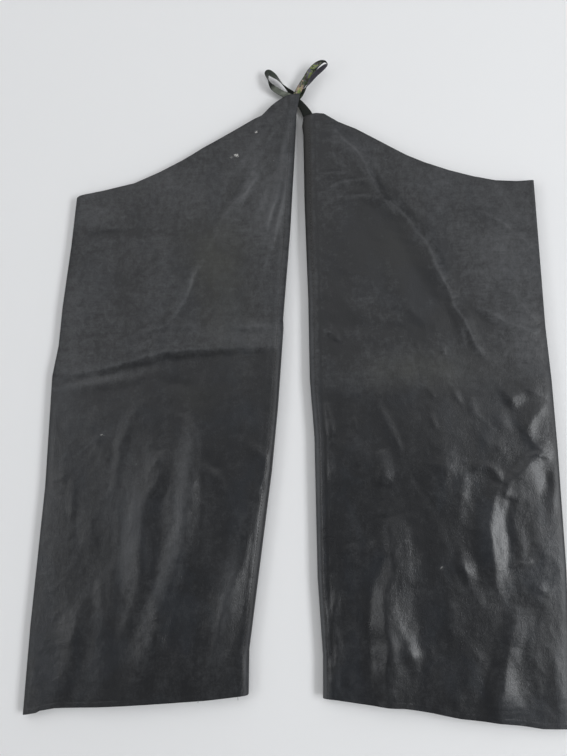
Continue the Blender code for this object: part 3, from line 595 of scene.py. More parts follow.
def shell(name, face, backing, materials, values):
    """A closed thin shell: face is the fine grid of its good side, backing the coarse grid of every third point of its
    other side. values are per-point numbers of the good side, kept as attributes."""
    rows, cols = face.shape[:2]
    br, bc = backing.shape[:2]
    base = rows * cols
    verts = np.concatenate([face.reshape(-1, 3), backing.reshape(-1, 3)])
    f = np.arange(base).reshape(rows, cols)
    b = base + np.arange(br * bc).reshape(br, bc)
    good = np.stack([f[:-1, :-1], f[1:, :-1], f[1:, 1:], f[:-1, 1:]], axis=2).reshape(-1, 4)
    other = np.stack([b[:-1, :-1], b[:-1, 1:], b[1:, 1:], b[1:, :-1]], axis=2).reshape(-1, 4)
    rim = []
    for i in range(bc - 1):
        rim.append([*f[0, 3 * i : 3 * i + 4], b[0, i + 1], b[0, i]])
        rim.append([*f[-1, 3 * i : 3 * i + 4][::-1], b[-1, i], b[-1, i + 1]])
    for j in range(br - 1):
        rim.append([*f[3 * j : 3 * j + 4, 0][::-1], b[j, 0], b[j + 1, 0]])
        rim.append([*f[3 * j : 3 * j + 4, -1], b[j + 1, -1], b[j, -1]])
    faces = good.tolist() + other.tolist() + [[int(k) for k in r] for r in rim]
    mesh = bpy.data.meshes.new(name)
    mesh.from_pydata(verts.tolist(), [], faces)
    for m in materials:
        mesh.materials.append(m)
    index = np.zeros(len(faces), np.int32)
    index[len(good) : len(good) + len(other)] = 1
    mesh.polygons.foreach_set("material_index", index)
    smooth = np.ones(len(faces), bool)
    smooth[len(good) + len(other) :] = False
    mesh.polygons.foreach_set("use_smooth", smooth)
    for key, value in values.items():
        layer = mesh.attributes.new(key, "FLOAT", "POINT")
        backed = value[::3, ::3]
        layer.data.foreach_set("value", np.concatenate([value.ravel(), backed.ravel()]).astype(np.float32))
    mesh.validate()
    mesh.update()
    ob = bpy.data.objects.new(name, mesh)
    bpy.context.scene.collection.objects.link(ob)
    return ob


def facing_out(face, outward):
    """The grid, turned so that its normals point to the outward side."""
    n = grid_normals(face)
    return face if (n * outward).sum() > 0 else face[:, ::-1]


def across_columns(width, fine_side, total):
    """(share across, share of the roll's rise, is the rim) for each column of a panel: the lip and roll at both sides,
    fine columns over the topstitching, and even ones between."""
    roll = [(ROLL_REACH * (1 - cos(pi / 2 * k / 6)), sin(pi / 2 * k / 6)) for k in range(1, 7)]
    near = [(0.0, None), (0.0, 0.0)] + roll
    stitched = [0.0068, 0.0075, 0.0080, 0.0085, 0.0091, 0.0096, 0.0102, 0.0112, 0.0128] if fine_side else []
    first = stitched[-1] if stitched else ROLL_REACH
    count = total - 2 * len(near) - len(stitched)
    even = np.linspace(first, width - ROLL_REACH, count + 2)[1:-1].tolist()
    share = [d / width for d, _ in near] + [d / width for d in stitched + even] + [1 - d / width for d, _ in reversed(near)]
    rise = [r for _, r in near] + [1.0] * (len(stitched) + count) + [r for _, r in reversed(near)]
    return np.array(share), np.array([r or 0.0 for r in rise]), np.array([r is None for r in rise])


def down_rows(count, length, fine_from=0.013, fine=12):
    """Shares down a leg: even rows, and finer ones over the last few millimetres above the hem."""
    edge = 1 - fine_from / length
    return np.r_[np.linspace(0, edge, count - fine + 1), np.linspace(edge, 1, fine + 1)[1:]]


def leg_length(leg):
    return (leg.point.z - leg.hem_point.z) * MM


def seam_shadow(leg, v):
    """How deep the painted shadow along the long seam is, down the leg: only the right leg's, towards its top."""
    if leg is RIGHT_LEG:
        return np.interp(v, [0, 0.03, 0.14, 0.24, 0.4, 1], [1.0, 1.0, 0.9, 0.5, 0.1, 0.0])
    return 0 * v


def edge_wear_and_seam_light(leg, u, v, width):
    """Where a front's edges are pale: worn along its outer side, and, on the right leg, a painted highlight over the
    width of the long seam, up to a dark line of painted shade in the groove where the seam's layers end; the left leg's
    seam edge is a little pale too."""
    seam_side = u * width
    outer = np.exp(-(((1 - u) * width / 0.003) ** 2))
    if leg is LEFT_LEG:
        return 0.4 * outer + 0.15 * np.exp(-((seam_side / 0.005) ** 2))
    bare = 1 - seam_shadow(leg, v)
    strip = 1.5 * (1 - blend((seam_side - 0.0042) / 0.0014)) + 0.5 * (1 - blend((seam_side - 0.0120) / 0.0020))
    return 0.4 * outer + strip * bare - 0.8 * np.exp(-(((seam_side - 0.0145) / 0.0013) ** 2))


def front_panel(name, leg, creases, turn_line, seed, materials):
    width, length = hem_width(leg), leg_length(leg)
    u, rise, rim = across_columns(width, True, 163)
    v = down_rows(FRONT_ROWS, length)
    plan = leg_plan(leg, u, v)
    across, down = np.meshgrid(u * width / MM, v * length / MM)
    loft = np.interp(v, [r.down for r in leg.depth], [r.loft * MM for r in leg.depth])
    dome = np.sin(pi * np.clip(u, 0, 1)) ** 0.4 * (1 - 0.36 * blend((u - 0.5) / 0.35))
    inside = blend(np.minimum(u, 1 - u) * width / CREASE_FADE)
    under = below(turn_line, plan) + 9 * MM * noise(across / 24, down / 40, seed + 12) + 5 * MM * noise(across / 9, 1, seed + 13)
    turn = blend(under / 0.034 + 0.5)
    wobble = 3.2 * noise(across / 21, down / 33, seed + 11)
    seam_side = u * width
    show = 1.0 if leg is RIGHT_LEG else 0.35
    welt = 0.45 * show * MM * (1 - blend((seam_side - 0.0125) / 0.0030))
    groove = -0.38 * show * MM * np.exp(-(((seam_side - TOPSTITCH) / 0.0011) ** 2))
    groove = groove - 0.45 * show * MM * np.exp(-(((seam_side - 0.0145) / 0.0012) ** 2))
    hem = (1 - v) * length
    hem_welt = 0.10 * MM * (1 - blend((hem - 0.0075) / 0.003)) - 0.07 * MM * np.exp(-(((hem - 0.0095) / 0.0012) ** 2))
    base = (
        stand_off(leg, u, v) + SEAM_GAP / 2 + np.where(rim, 0, LIP) + rise * ROLL_RISE + 0.0012
        + loft[:, None] * dome
    )
    lift, crest = crease_height(creases, plan, wobble)
    relief = (lift + fine_relief(across, down, turn, seed)) * inside
    # Used as paler wear where the relief stands out and as painted shade in its hollows.
    worn_and_hollow_shade = stand_out(relief, 4)
    relief = relief + (welt + groove) * blend(seam_side / 0.004) + hem_welt[:, None] * inside
    out = base + relief
    middle = np.dstack([plan[..., 0], -out, plan[..., 1]])
    plain = np.dstack([plan[..., 0], -base, plan[..., 1]])
    n = grid_normals(plain)
    if (n[..., 1]).sum() > 0:
        n = -n
    face, backing = middle + n * LEATHER / 2, (middle - n * LEATHER / 2)[::3, ::3]
    values = {
        "turn": turn,
        "low": blend((under - 0.02) / 0.16) * (1 - 0.45 * blend((u - 0.70) / 0.2) if leg is RIGHT_LEG else 0.35),
        "tint": patches(TINTS, plan),
        "dust_and_painted_light": patches(DUST_AND_PAINTED_LIGHT, plan),
        "fleck": patches(FLECKS, plan),
        "worn_and_hollow_shade": worn_and_hollow_shade, "crest": crest,
        "seam": seam_shadow(leg, v)[:, None] * (1 - blend((seam_side - 0.006) / 0.008)),
        "edge": np.broadcast_to(edge_wear_and_seam_light(leg, u[None], v[:, None], width), plan.shape[:2]),
        "hem": np.broadcast_to(np.exp(-((hem / 0.006) ** 2))[:, None], plan.shape[:2]),
        "roll": np.broadcast_to(np.exp(-((np.minimum(u, 1 - u) * width / 0.0055) ** 2)), plan.shape[:2]),
    }
    if (grid_normals(face)[..., 1]).sum() > 0:
        face, backing = face[:, ::-1], backing[:, ::-1]
        values = {k: w[:, ::-1] for k, w in values.items()}
        flipped = True
    else:
        flipped = False
    ob = shell(name, face, backing, materials, values)
    good = face[:, ::-1] if flipped else face
    return ob, good, u, v, width, length


def back_panel(name, leg, creases, turn_line, seed, materials):
    width, length = hem_width(leg), leg_length(leg)
    u, rise, rim = across_columns(width, True, 91)
    v = down_rows(BACK_ROWS, length)
    dip = leg.back_from * (1 - blend(u / 0.2))
    # The top edge dips at the leg's point, to leave the peg and the straps their room.
    vv = dip[None] + (1 - dip[None]) * v[:, None]
    plan = np.stack([leg_plan(leg, u[i : i + 1], vv[:, i])[:, 0] for i in range(len(u))], axis=1)
    lip = np.stack([stand_off(leg, u[i : i + 1], vv[:, i])[:, 0] for i in range(len(u))], axis=1)
    lip = lip - SEAM_GAP / 2 - np.where(rim, 0, LIP)
    base = lip + rise * (BACK_STAND_OFF - lip)
    across, down = np.meshgrid(u * width / MM, v * length / MM)
    inside = blend((np.minimum(u, 1 - u) * width - 0.006) / 0.014)
    under = below(turn_line, plan)
    turn = blend(under / 0.030 + 0.5)
    wobble = 3.2 * noise(across / 21, down / 33, seed + 11)
    lift, crest = crease_height(creases, plan, wobble)
    relief = lift + 0.7 * fine_relief(across, down, turn, seed)
    relief = np.where(relief < 0, 1.2 * MM * np.tanh(relief / (1.2 * MM)), relief) * inside
    out = base + relief
    middle = np.dstack([plan[..., 0], -out, plan[..., 1]])
    plain = np.dstack([plan[..., 0], -base, plan[..., 1]])
    n = grid_normals(plain)
    if (n[..., 1]).sum() < 0:
        n = -n
    face, backing = middle + n * LEATHER / 2, (middle - n * LEATHER / 2)[::3, ::3]
    zero = np.zeros(plan.shape[:2])
    values = {
        "turn": turn, "low": blend((under - 0.02) / 0.16), "tint": zero, "dust_and_painted_light": patches(BACK_DUST, plan),
        "fleck": zero, "worn_and_hollow_shade": stand_out(relief, 2), "crest": crest,
        "seam": seam_shadow(leg, v)[:, None] * (1 - blend((u * width - 0.006) / 0.008)),
        "edge": np.broadcast_to(edge_wear_and_seam_light(leg, u[None], v[:, None], width), plan.shape[:2]), "hem": zero, "roll": zero,
    }
    if (grid_normals(face)[..., 1]).sum() < 0:
        face, backing = face[:, ::-1], backing[:, ::-1]
        values = {k: w[:, ::-1] for k, w in values.items()}
    return shell(name, face, backing, materials, values)


# ---- straps -------------------------------------------------------------------------------------------------------
def strap_shell(name, stations, materials, seed):
    """A strap as a closed ribbon, with a face of its own material on each side."""
    k = np.array([(s.x * MM, s.y * MM, s.z * MM, radians(s.turn), s.width * MM) for s in stations])
    k = np.vstack([2 * k[0] - k[1], k, 2 * k[-1] - k[-2]])
    smooth = []
    for i in range(1, len(k) - 2):
        p0, p1, p2, p3 = k[i - 1 : i + 3]
        for t in np.arange(6) / 6:
            smooth.append(0.5 * (2 * p1 + (p2 - p0) * t + (2 * p0 - 5 * p1 + 4 * p2 - p3) * t**2
                                 + (3 * p1 - p0 - 3 * p2 + p3) * t**3))
    smooth.append(k[-2])
    smooth = np.array(smooth)
    run = np.gradient(smooth[:, :3], axis=0)
    flat_run = run.copy()
    flat_run[:, 1] = 0
    flat_run /= np.linalg.norm(flat_run, axis=1)[:, None]
    flat = np.stack([flat_run[:, 2], 0 * flat_run[:, 0], -flat_run[:, 0]], axis=1)
    across = np.cos(smooth[:, 3])[:, None] * flat + np.sin(smooth[:, 3])[:, None] * np.array(STRAP_EDGE_RUN)
    run /= np.linalg.norm(run, axis=1)[:, None]
    normal = np.cross(run, across)
    normal /= np.linalg.norm(normal, axis=1)[:, None]
    share = np.linspace(-1, 1, 13)
    half = smooth[:, 4] / 2
    length = np.r_[0, np.cumsum(np.linalg.norm(np.diff(smooth[:, :3], axis=0), axis=1))] / MM
    thick = LEATHER * (0.55 + 0.45 * np.sqrt(1 - np.clip(np.abs(share), 0, 1) ** 4))
    curl = 0.35 * MM * share**2
    lumps = 0.18 * MM * noise(length[:, None] / 7.0, share[None] * 1.3 + 5, seed)
    mid = smooth[:, None, :3] + across[:, None] * (share[None, :, None] * half[:, None, None])
    mid = mid + normal[:, None] * (curl[None] + lumps)[..., None]
    a = mid + normal[:, None] * (thick / 2)[None, :, None]
    b = mid - normal[:, None] * (thick / 2)[None, :, None]
    rows, cols = a.shape[:2]
    f = np.arange(rows * cols).reshape(rows, cols)
    g = f + rows * cols
    faces, index = [], []
    for top, flip, slot in ((f, False, 0), (g, True, 1)):
        quads = np.stack([top[:-1, :-1], top[:-1, 1:], top[1:, 1:], top[1:, :-1]], axis=2).reshape(-1, 4)
        faces += (quads[:, ::-1] if flip else quads).tolist()
        index += [slot] * len(quads)
    for i in range(cols - 1):
        faces.append([int(x) for x in (f[0, i + 1], f[0, i], g[0, i], g[0, i + 1])])
        faces.append([int(x) for x in (f[-1, i], f[-1, i + 1], g[-1, i + 1], g[-1, i])])
    for j in range(rows - 1):
        faces.append([int(x) for x in (f[j, 0], f[j + 1, 0], g[j + 1, 0], g[j, 0])])
        faces.append([int(x) for x in (f[j + 1, -1], f[j, -1], g[j, -1], g[j + 1, -1])])
    index += [0] * (len(faces) - len(index))
    mesh = bpy.data.meshes.new(name)
    mesh.from_pydata(np.concatenate([a.reshape(-1, 3), b.reshape(-1, 3)]).tolist(), [], faces)
    for m in materials:
        mesh.materials.append(m)
    mesh.polygons.foreach_set("material_index", np.array(index, np.int32))
    mesh.shade_smooth()
    layer = mesh.attributes.new("along", "FLOAT", "POINT")
    layer.data.foreach_set("value", np.tile(np.repeat(length, cols), 2).astype(np.float32))
    layer = mesh.attributes.new("rim", "FLOAT", "POINT")
    layer.data.foreach_set("value", np.tile(np.tile(share, rows), 2).astype(np.float32))
    mesh.validate()
    mesh.update()
    ob = bpy.data.objects.new(name, mesh)
    bpy.context.scene.collection.objects.link(ob)
    area = ((smooth[1:, 4] + smooth[:-1, 4]) / 2 * np.diff(length)).sum() * MM
    return ob, (smooth[:, 4].max(), length[-1] * MM), area


# ---- stitches -----------------------------------------------------------------------------------------------------
def capsule(length, width, height):
    """A stitch lying along its first axis: rows of points round it, and faces."""
    rings, around = 7, 8
    pts, faces = [], []
    for i in range(rings):
        t = -1 + 2 * i / (rings - 1)
        r = max(0.12, (1 - abs(t) ** 2.6)) ** 0.5
        dip = -0.25 * height * t * t
        for k in range(around):
            w = 2 * pi * k / around
            pts.append((t * length / 2, cos(w) * width / 2 * r, dip + sin(w) * height / 2 * r))
    for i in range(rings - 1):
        for k in range(around):
            a, b = i * around + k, i * around + (k + 1) % around
            faces.append((a, b, b + around, a + around))
    faces.append(tuple(reversed(range(around))))
    faces.append(tuple(range((rings - 1) * around, rings * around)))
    return np.array(pts), faces


def stitch_row(name, good, u, v, width, offset, pitch, first, last, seed, material, extra=()):
    """Stitches along a line at a fixed distance from the long seam, lying in its groove."""
    column = np.interp(offset / width, u, np.arange(len(u)))
    i = int(column)
    line = good[:, i] * (1 - (column - i)) + good[:, i + 1] * (column - i)
    n = grid_normals(good)[:, i]
    if n[:, 1].sum() > 0:
        n = -n
    length = np.r_[0, np.cumsum(np.linalg.norm(np.diff(line, axis=0), axis=1))]
    rng = np.random.default_rng(seed)
    pts, faces, count = [], [], 0
    body, quads = capsule(STITCH_LENGTH, 0.00115, 0.00085)
    for at in np.arange(first, length[-1] - last, pitch):
        at = at + rng.uniform(-0.25, 0.25) * MM
        here, ahead = (np.array([np.interp(at + d, length, line[:, c]) for c in range(3)]) for d in (-0.001, 0.001))
        run = (ahead - here) / np.linalg.norm(ahead - here)
        up = np.array([np.interp(at, length, n[:, c]) for c in range(3)])
        up /= np.linalg.norm(up)
        side = np.cross(up, run)
        slant = rng.normal(0.10, 0.05)
        run = run * cos(slant) + side * sin(slant)
        side = np.cross(up, run)
        p = body * [rng.uniform(0.92, 1.06), 1, 1]
        place = (here + ahead) / 2 + up * rng.uniform(0.05, 0.16) * MM
        pts.append(place + p[:, :1] * run + p[:, 1:2] * side + p[:, 2:] * up)
        faces += [tuple(k + count for k in q) for q in quads]
        count += len(body)
    for share, lean, drop in extra:
        ring = 6
        t = np.linspace(0, 1, 9)
        start = good[-1, np.abs(u - share).argmin()] + np.array([0, 0.0008, 0.0006])
        path = start + np.stack([lean * MM * (t + 0.25 * np.sin(t * 5)), -0.4 * MM * t, -drop * MM * t], axis=1)
        w = np.arange(ring) * 2 * pi / ring
        tube = path[:, None] + 0.26 * MM * np.stack([np.cos(w), np.sin(w), 0 * w], axis=1)[None]
        pts.append(tube.reshape(-1, 3))
        for a in range(len(t) - 1):
            for k in range(ring):
                faces.append(tuple(count + x for x in (
                    a * ring + k, a * ring + (k + 1) % ring, (a + 1) * ring + (k + 1) % ring, (a + 1) * ring + k)))
        faces.append(tuple(count + k for k in reversed(range(ring))))
        faces.append(tuple(count + (len(t) - 1) * ring + k for k in range(ring)))
        count += len(t) * ring
    mesh = bpy.data.meshes.new(name)
    mesh.from_pydata(np.concatenate(pts).tolist(), [], faces)
    mesh.materials.append(material)
    mesh.shade_smooth()
    mesh.validate()
    mesh.update()
    ob = bpy.data.objects.new(name, mesh)
    bpy.context.scene.collection.objects.link(ob)
    return ob


# ---- materials ----------------------------------------------------------------------------------------------------
class Nodes:
    """Builds a material's node tree with little calls."""

    def __init__(self, name):
        self.material = bpy.data.materials.new(name)
        self.material.use_nodes = True
        self.tree = self.material.node_tree
        self.shader = self.tree.nodes["Principled BSDF"]
        self.place = self.add("ShaderNodeTexCoord").outputs["Object"]

    def add(self, kind, **inputs):
        node = self.tree.nodes.new(kind)
        for key, value in inputs.items():
            self.put(node.inputs[key.replace("_", " ")], value)
        return node

    def put(self, socket, value):
        if isinstance(value, bpy.types.NodeSocket):
            self.tree.links.new(value, socket)
        else:
            socket.default_value = value

    def mapped(self, scale, turn=0.0):
        m = self.add("ShaderNodeMapping")
        self.put(m.inputs["Vector"], self.place)
        m.inputs["Scale"].default_value = scale
        m.inputs["Rotation"].default_value = (0, turn, 0)
        return m.outputs["Vector"]

    def noise(self, scale, detail=3.0, rough=0.55, turn=0.0, distortion=0.0):
        n = self.add("ShaderNodeTexNoise", Scale=1.0, Detail=detail, Roughness=rough, Distortion=distortion)
        self.put(n.inputs["Vector"], self.mapped(scale, turn))
        return n.outputs["Fac"]

    def cells(self, scale, feature="F1", turn=0.0):
        n = self.add("ShaderNodeTexVoronoi", Scale=1.0)
        n.feature = feature
        self.put(n.inputs["Vector"], self.mapped(scale, turn))
        return n.outputs["Distance"]

    def value(self, name):
        n = self.add("ShaderNodeAttribute")
        n.attribute_name = name
        return n.outputs["Fac"]

    def math(self, kind, a, b=0.0, clamp=False):
        n = self.add("ShaderNodeMath")
        n.operation = kind
        n.use_clamp = clamp
        self.put(n.inputs[0], a)
        self.put(n.inputs[1], b)
        return n.outputs[0]

    def ramp(self, value, low, high, to_low=0.0, to_high=1.0):
        n = self.add("ShaderNodeMapRange")
        n.interpolation_type = "SMOOTHSTEP"
        for key, x in zip(("Value", "From Min", "From Max", "To Min", "To Max"), (value, low, high, to_low, to_high)):
            self.put(n.inputs[key], x)
        return n.outputs["Result"]

    def mix(self, share, a, b):
        n = self.add("ShaderNodeMix")
        n.data_type = "RGBA"
        self.put(n.inputs[0], share)
        for socket, colour in ((n.inputs[6], a), (n.inputs[7], b)):
            self.put(socket, colour if isinstance(colour, bpy.types.NodeSocket) else (*colour, 1))
        return n.outputs[2]

    def bump(self, height, distance, strength=1.0, after=None):
        n = self.add("ShaderNodeBump", Height=height, Strength=strength, Distance=distance)
        if after is not None:
            self.put(n.inputs["Normal"], after)
        return n.outputs["Normal"]

    def finish(self, colour, roughness, normal=None, **uniform):
        self.put(self.shader.inputs["Base Color"], colour if isinstance(colour, bpy.types.NodeSocket) else (*colour, 1))
        self.put(self.shader.inputs["Roughness"], roughness)
        if normal is not None:
            self.put(self.shader.inputs["Normal"], normal)
        for key, value in uniform.items():
            self.shader.inputs[key.replace("_", " ")].default_value = value
        return self.material


def leather_face():
    """Black garment leather, dusty and matt above, bare and glossy below, crinkled upright."""
    n = Nodes("black_leather_face")
    turn, low = n.value("turn"), n.value("low")
    cloud = n.noise((9, 9, 5), 4, 0.6, distortion=0.4)
    blotch = n.noise((34, 34, 16), 4, 0.6)
    speck = n.noise((420, 420, 300), 2, 0.6)
    streak = n.noise((330, 330, 36), 4, 0.65, turn=radians(4))
    wisp = n.noise((42, 42, 230), 4, 0.62, turn=radians(-10), distortion=0.6)
    grit = n.noise((310, 310, 310), 5, 0.72)
    mottle = n.noise((105, 105, 90), 5, 0.62, distortion=0.5)
    upper = n.ramp(turn, 0, 1, 1.0, 0.3)
    dust_and_painted_light = n.math("MULTIPLY", n.math("SUBTRACT", cloud, 0.5), 0.75)
    wisp = n.math("MULTIPLY", n.math("SUBTRACT", wisp, 0.5), n.ramp(blotch, 0.35, 0.65, 0.15, 0.95))
    dust_and_painted_light = n.math("ADD", dust_and_painted_light, wisp)
    dust_and_painted_light = n.math("ADD", dust_and_painted_light, 0.20)
    dust_and_painted_light = n.math("ADD", n.math("MULTIPLY", dust_and_painted_light, upper), n.math("MULTIPLY", n.math("SUBTRACT", blotch, 0.5), 0.6))
    # The listed patches: dust, and painted highlights on ridges and painted shade on their dark flanks.
    dust_and_painted_light = n.math("ADD", dust_and_painted_light, n.math("MULTIPLY", n.value("dust_and_painted_light"), n.ramp(turn, 0, 1, 1.0, 0.75)))
    dust_and_painted_light = n.math("ADD", dust_and_painted_light, n.math("MULTIPLY", n.math("SUBTRACT", grit, 0.5), 0.95))
    mottle = n.math("MULTIPLY", n.math("SUBTRACT", mottle, 0.5), n.ramp(turn, 0, 1, 1.35, 0.75))
    dust_and_painted_light = n.math("ADD", dust_and_painted_light, mottle)
    # Painted shade in the hollows of the relief, and paler wear where it stands out.
    dust_and_painted_light = n.math("ADD", dust_and_painted_light, n.math("MULTIPLY", n.value("worn_and_hollow_shade"), n.ramp(turn, 0, 1, 0.11, 0.04)))
    # Pale worn outer edges; along the right leg's long seam a painted highlight and a dark line of painted shade in the
    # groove.
    dust_and_painted_light = n.math("ADD", dust_and_painted_light, n.math("MULTIPLY", n.value("edge"), 0.5))
    dust_and_painted_light = n.math("ADD", dust_and_painted_light, n.math("MULTIPLY", n.value("crest"), n.ramp(turn, 0, 1, 0.42, 0.10)))
    dust_and_painted_light = n.math("ADD", dust_and_painted_light, n.math("MULTIPLY", n.math("SUBTRACT", streak, 0.5), 0.15), clamp=True)
    colour = n.mix(dust_and_painted_light, (0.0075, 0.0081, 0.0098), (0.0540, 0.0560, 0.0600))
    tint = n.math("MULTIPLY", n.value("tint"), n.ramp(blotch, 0.3, 0.65, 0.5, 1.0))
    colour = n.mix(n.math("MULTIPLY", tint, 0.45), colour, (0.033, 0.0335, 0.026))
    # Painted shadow: darker down the right leg's long seam towards its top.
    seam = n.math("MULTIPLY", n.value("seam"), n.ramp(turn, 0, 1, 0.85, 0.15))
    colour = n.mix(seam, colour, (0.0085, 0.0075, 0.0065))
    # Painted reflection: bluish patches of the cool window light, stronger in the glossy lower part.
    painted_cool_reflection = n.ramp(n.noise((16, 16, 10), 4, 0.6, distortion=0.5), 0.46, 0.68, 0.0, 0.3)
    colour = n.mix(n.math("MULTIPLY", painted_cool_reflection, n.ramp(turn, 0, 1, 0.6, 1.0)), colour, (0.017, 0.0215, 0.0290))
    fleck = n.ramp(n.math("MULTIPLY", n.value("fleck"), n.ramp(n.noise((420, 420, 420), 3, 0.7), 0.3, 0.65, 0.3, 1.3)), 0.3, 1.0)
    colour = n.mix(fleck, colour, (0.50, 0.49, 0.47))
    rub = n.ramp(n.math("MULTIPLY", speck, n.math("ADD", n.value("dust_and_painted_light"), 0.9)), 0.62, 1.2, 0, 0.12)
    colour = n.mix(rub, colour, (0.10, 0.10, 0.10))
    gloss = n.math("ADD", n.math("MULTIPLY", turn, 0.55), n.math("MULTIPLY", low, 0.45))
    rough = n.ramp(gloss, 0, 1, 0.48, 0.30)
    rough = n.math("ADD", rough, n.math("MULTIPLY", n.math("SUBTRACT", blotch, 0.5), 0.16))
    rough = n.math("ADD", rough, n.math("MULTIPLY", n.value("roll"), 0.25))
    rough = n.math("ADD", rough, n.math("MULTIPLY", n.value("fleck"), 0.3), clamp=True)
    pull = n.noise((190, 190, 90), 5, 0.62, turn=radians(4), distortion=0.6)
    crackle = n.cells((480, 480, 260), "DISTANCE_TO_EDGE")
    crackle = n.ramp(crackle, 0.0, 0.16)
    grain = n.cells((820, 820, 700))
    wrinkle = n.noise((150, 150, 190), 5, 0.66, distortion=1.0)
    calm = n.ramp(turn, 0, 1, 1.0, 0.55)
    normal = n.bump(n.math("MULTIPLY", pull, calm), 0.0016, 0.24)
    normal = n.bump(n.math("MULTIPLY", wrinkle, calm), 0.0016, 0.12, normal)
    normal = n.bump(crackle, 0.00008, 0.5, normal)
    normal = n.bump(grain, 0.00012, 0.75, normal)
    return n.finish(colour, rough, normal, Specular_IOR_Level=0.5)


def leather_backing():
    """The flesh side, inside the legs."""
    n = Nodes("flesh_side")
    fuzz = n.noise((700, 700, 700), 3, 0.7)
    cloud = n.noise((30, 30, 18), 4, 0.6)
    colour = n.mix(cloud, (0.020, 0.019, 0.018), (0.048, 0.045, 0.042))
    normal = n.bump(fuzz, 0.0004, 0.8)
    return n.finish(colour, n.ramp(cloud, 0.2, 0.8, 0.78, 0.92), normal, Specular_IOR_Level=0.25)


def strap_face(name, low, high, rim_colour):
    n = Nodes(name)
    streak = n.noise((260, 260, 260), 3, 0.6)
    cloud = n.noise((90, 90, 90), 3, 0.6)
    colour = n.mix(n.ramp(cloud, 0.3, 0.7), low, high)
    rim = n.ramp(n.math("ABSOLUTE", n.value("rim")), 0.72, 0.98)
    colour = n.mix(n.math("MULTIPLY", rim, 0.5), colour, rim_colour)
    normal = n.bump(streak, 0.0005, 0.6)
    normal = n.bump(n.cells((900, 900, 900)), 0.00012, 0.7, normal)
    return n.finish(colour, n.ramp(cloud, 0.2, 0.8, 0.42, 0.58), normal, Specular_IOR_Level=0.4)


def strap_plain_lining():
    """The right leg's strap, inside: grey-green cloth, with painted shade, near black, where it comes out of the leg
    and from the loop's tip on.
    """
    n = Nodes("strap_plain_lining")
    along = n.value("along")
    cloud = n.noise((120, 120, 120), 3, 0.6)
    colour = n.mix(n.ramp(cloud, 0.35, 0.65), (0.085, 0.094, 0.078), (0.150, 0.162, 0.135))
    # Painted shade: near black on the neck, which runs behind the other leg's top, and from the loop's tip on.
    neck_and_tip_shade = n.math("MAXIMUM", n.ramp(along, 44, 52, 1, 0), n.ramp(along, 84, 94))
    colour = n.mix(neck_and_tip_shade, colour, (0.010, 0.012, 0.010))
    weave = n.noise((2200, 2200, 2200), 1, 0.5)
    return n.finish(colour, 0.85, n.bump(weave, 0.0002, 0.6), Specular_IOR_Level=0.3)


def strap_printed_lining():
    """A cotton print on the left leg's strap, inside: soft patches of tan, grey-violet, yellow-green and dark green."""
    n = Nodes("strap_printed_lining")
    a = n.noise((95, 95, 95), 2, 0.5, distortion=1.2)
    b = n.noise((120, 120, 120), 2, 0.5, distortion=1.0, turn=0.7)
    c = n.noise((150, 150, 150), 2, 0.5, distortion=1.0, turn=1.9)
    near = n.math("ADD", n.value("along"), n.math("MULTIPLY", n.math("SUBTRACT", a, 0.5), 55))
    colour = n.mix(n.ramp(a, 0.46, 0.54), (0.115, 0.110, 0.130), (0.065, 0.085, 0.050))
    colour = n.mix(n.ramp(b, 0.55, 0.60), colour, (0.22, 0.26, 0.09))
    colour = n.mix(n.math("MULTIPLY", n.ramp(near, 52, 42), n.ramp(c, 0.40, 0.52)), colour, (0.36, 0.27, 0.19))
    colour = n.mix(n.ramp(c, 0.58, 0.64), colour, (0.030, 0.036, 0.026))
    colour = n.mix(n.ramp(b, 0.40, 0.35), colour, (0.055, 0.042, 0.034))
    colour = n.mix(n.ramp(near, 84, 96), colour, (0.020, 0.030, 0.016))
    weave = n.noise((2400, 2400, 2400), 1, 0.5)
    rim = n.ramp(n.math("ABSOLUTE", n.value("rim")), 0.80, 0.95)
    colour = n.mix(rim, colour, (0.020, 0.024, 0.018))
    return n.finish(colour, 0.85, n.bump(weave, 0.0002, 0.6), Specular_IOR_Level=0.3)


def thread():
    n = Nodes("black_thread")
    twist = n.noise((2600, 2600, 2600), 2, 0.5)
    colour = n.mix(twist, (0.007, 0.007, 0.007), (0.034, 0.032, 0.031))
    return n.finish(colour, 0.42, n.bump(twist, 0.0001, 0.6), Specular_IOR_Level=0.5)


def peg_wood():
    n = Nodes("peg_wood_grain")
    rings = n.noise((260, 26, 260), 4, 0.6, distortion=1.2)
    colour = n.mix(rings, (0.50, 0.40, 0.27), (0.68, 0.58, 0.43))
    return n.finish(colour, n.ramp(rings, 0.2, 0.8, 0.5, 0.65), n.bump(rings, 0.0002, 0.5), Specular_IOR_Level=0.4)


def plain(name, colour, roughness, from_behind=False):
    """A plain stage surface. from_behind makes it see-through from its far side and to light, so that the back of what
    hangs on it can be looked at."""
    n = Nodes(name)
    dapple = n.noise((1.1, 1.1, 1.1), 2, 0.5)
    n.finish(n.mix(dapple, colour, tuple(c * 0.985 for c in colour)), roughness, Specular_IOR_Level=0.2)
    if from_behind:
        clear = n.add("ShaderNodeBsdfTransparent")
        behind = n.add("ShaderNodeNewGeometry").outputs["Backfacing"]
        shadow = n.add("ShaderNodeLightPath").outputs["Is Shadow Ray"]
        share = n.math("MAXIMUM", behind, shadow)
        mixed = n.add("ShaderNodeMixShader")
        n.put(mixed.inputs[0], share)
        n.put(mixed.inputs[1], n.shader.outputs[0])
        n.put(mixed.inputs[2], clear.outputs[0])
        output = next(k for k in n.tree.nodes if k.type == "OUTPUT_MATERIAL")
        n.put(output.inputs["Surface"], mixed.outputs[0])
    return n.material


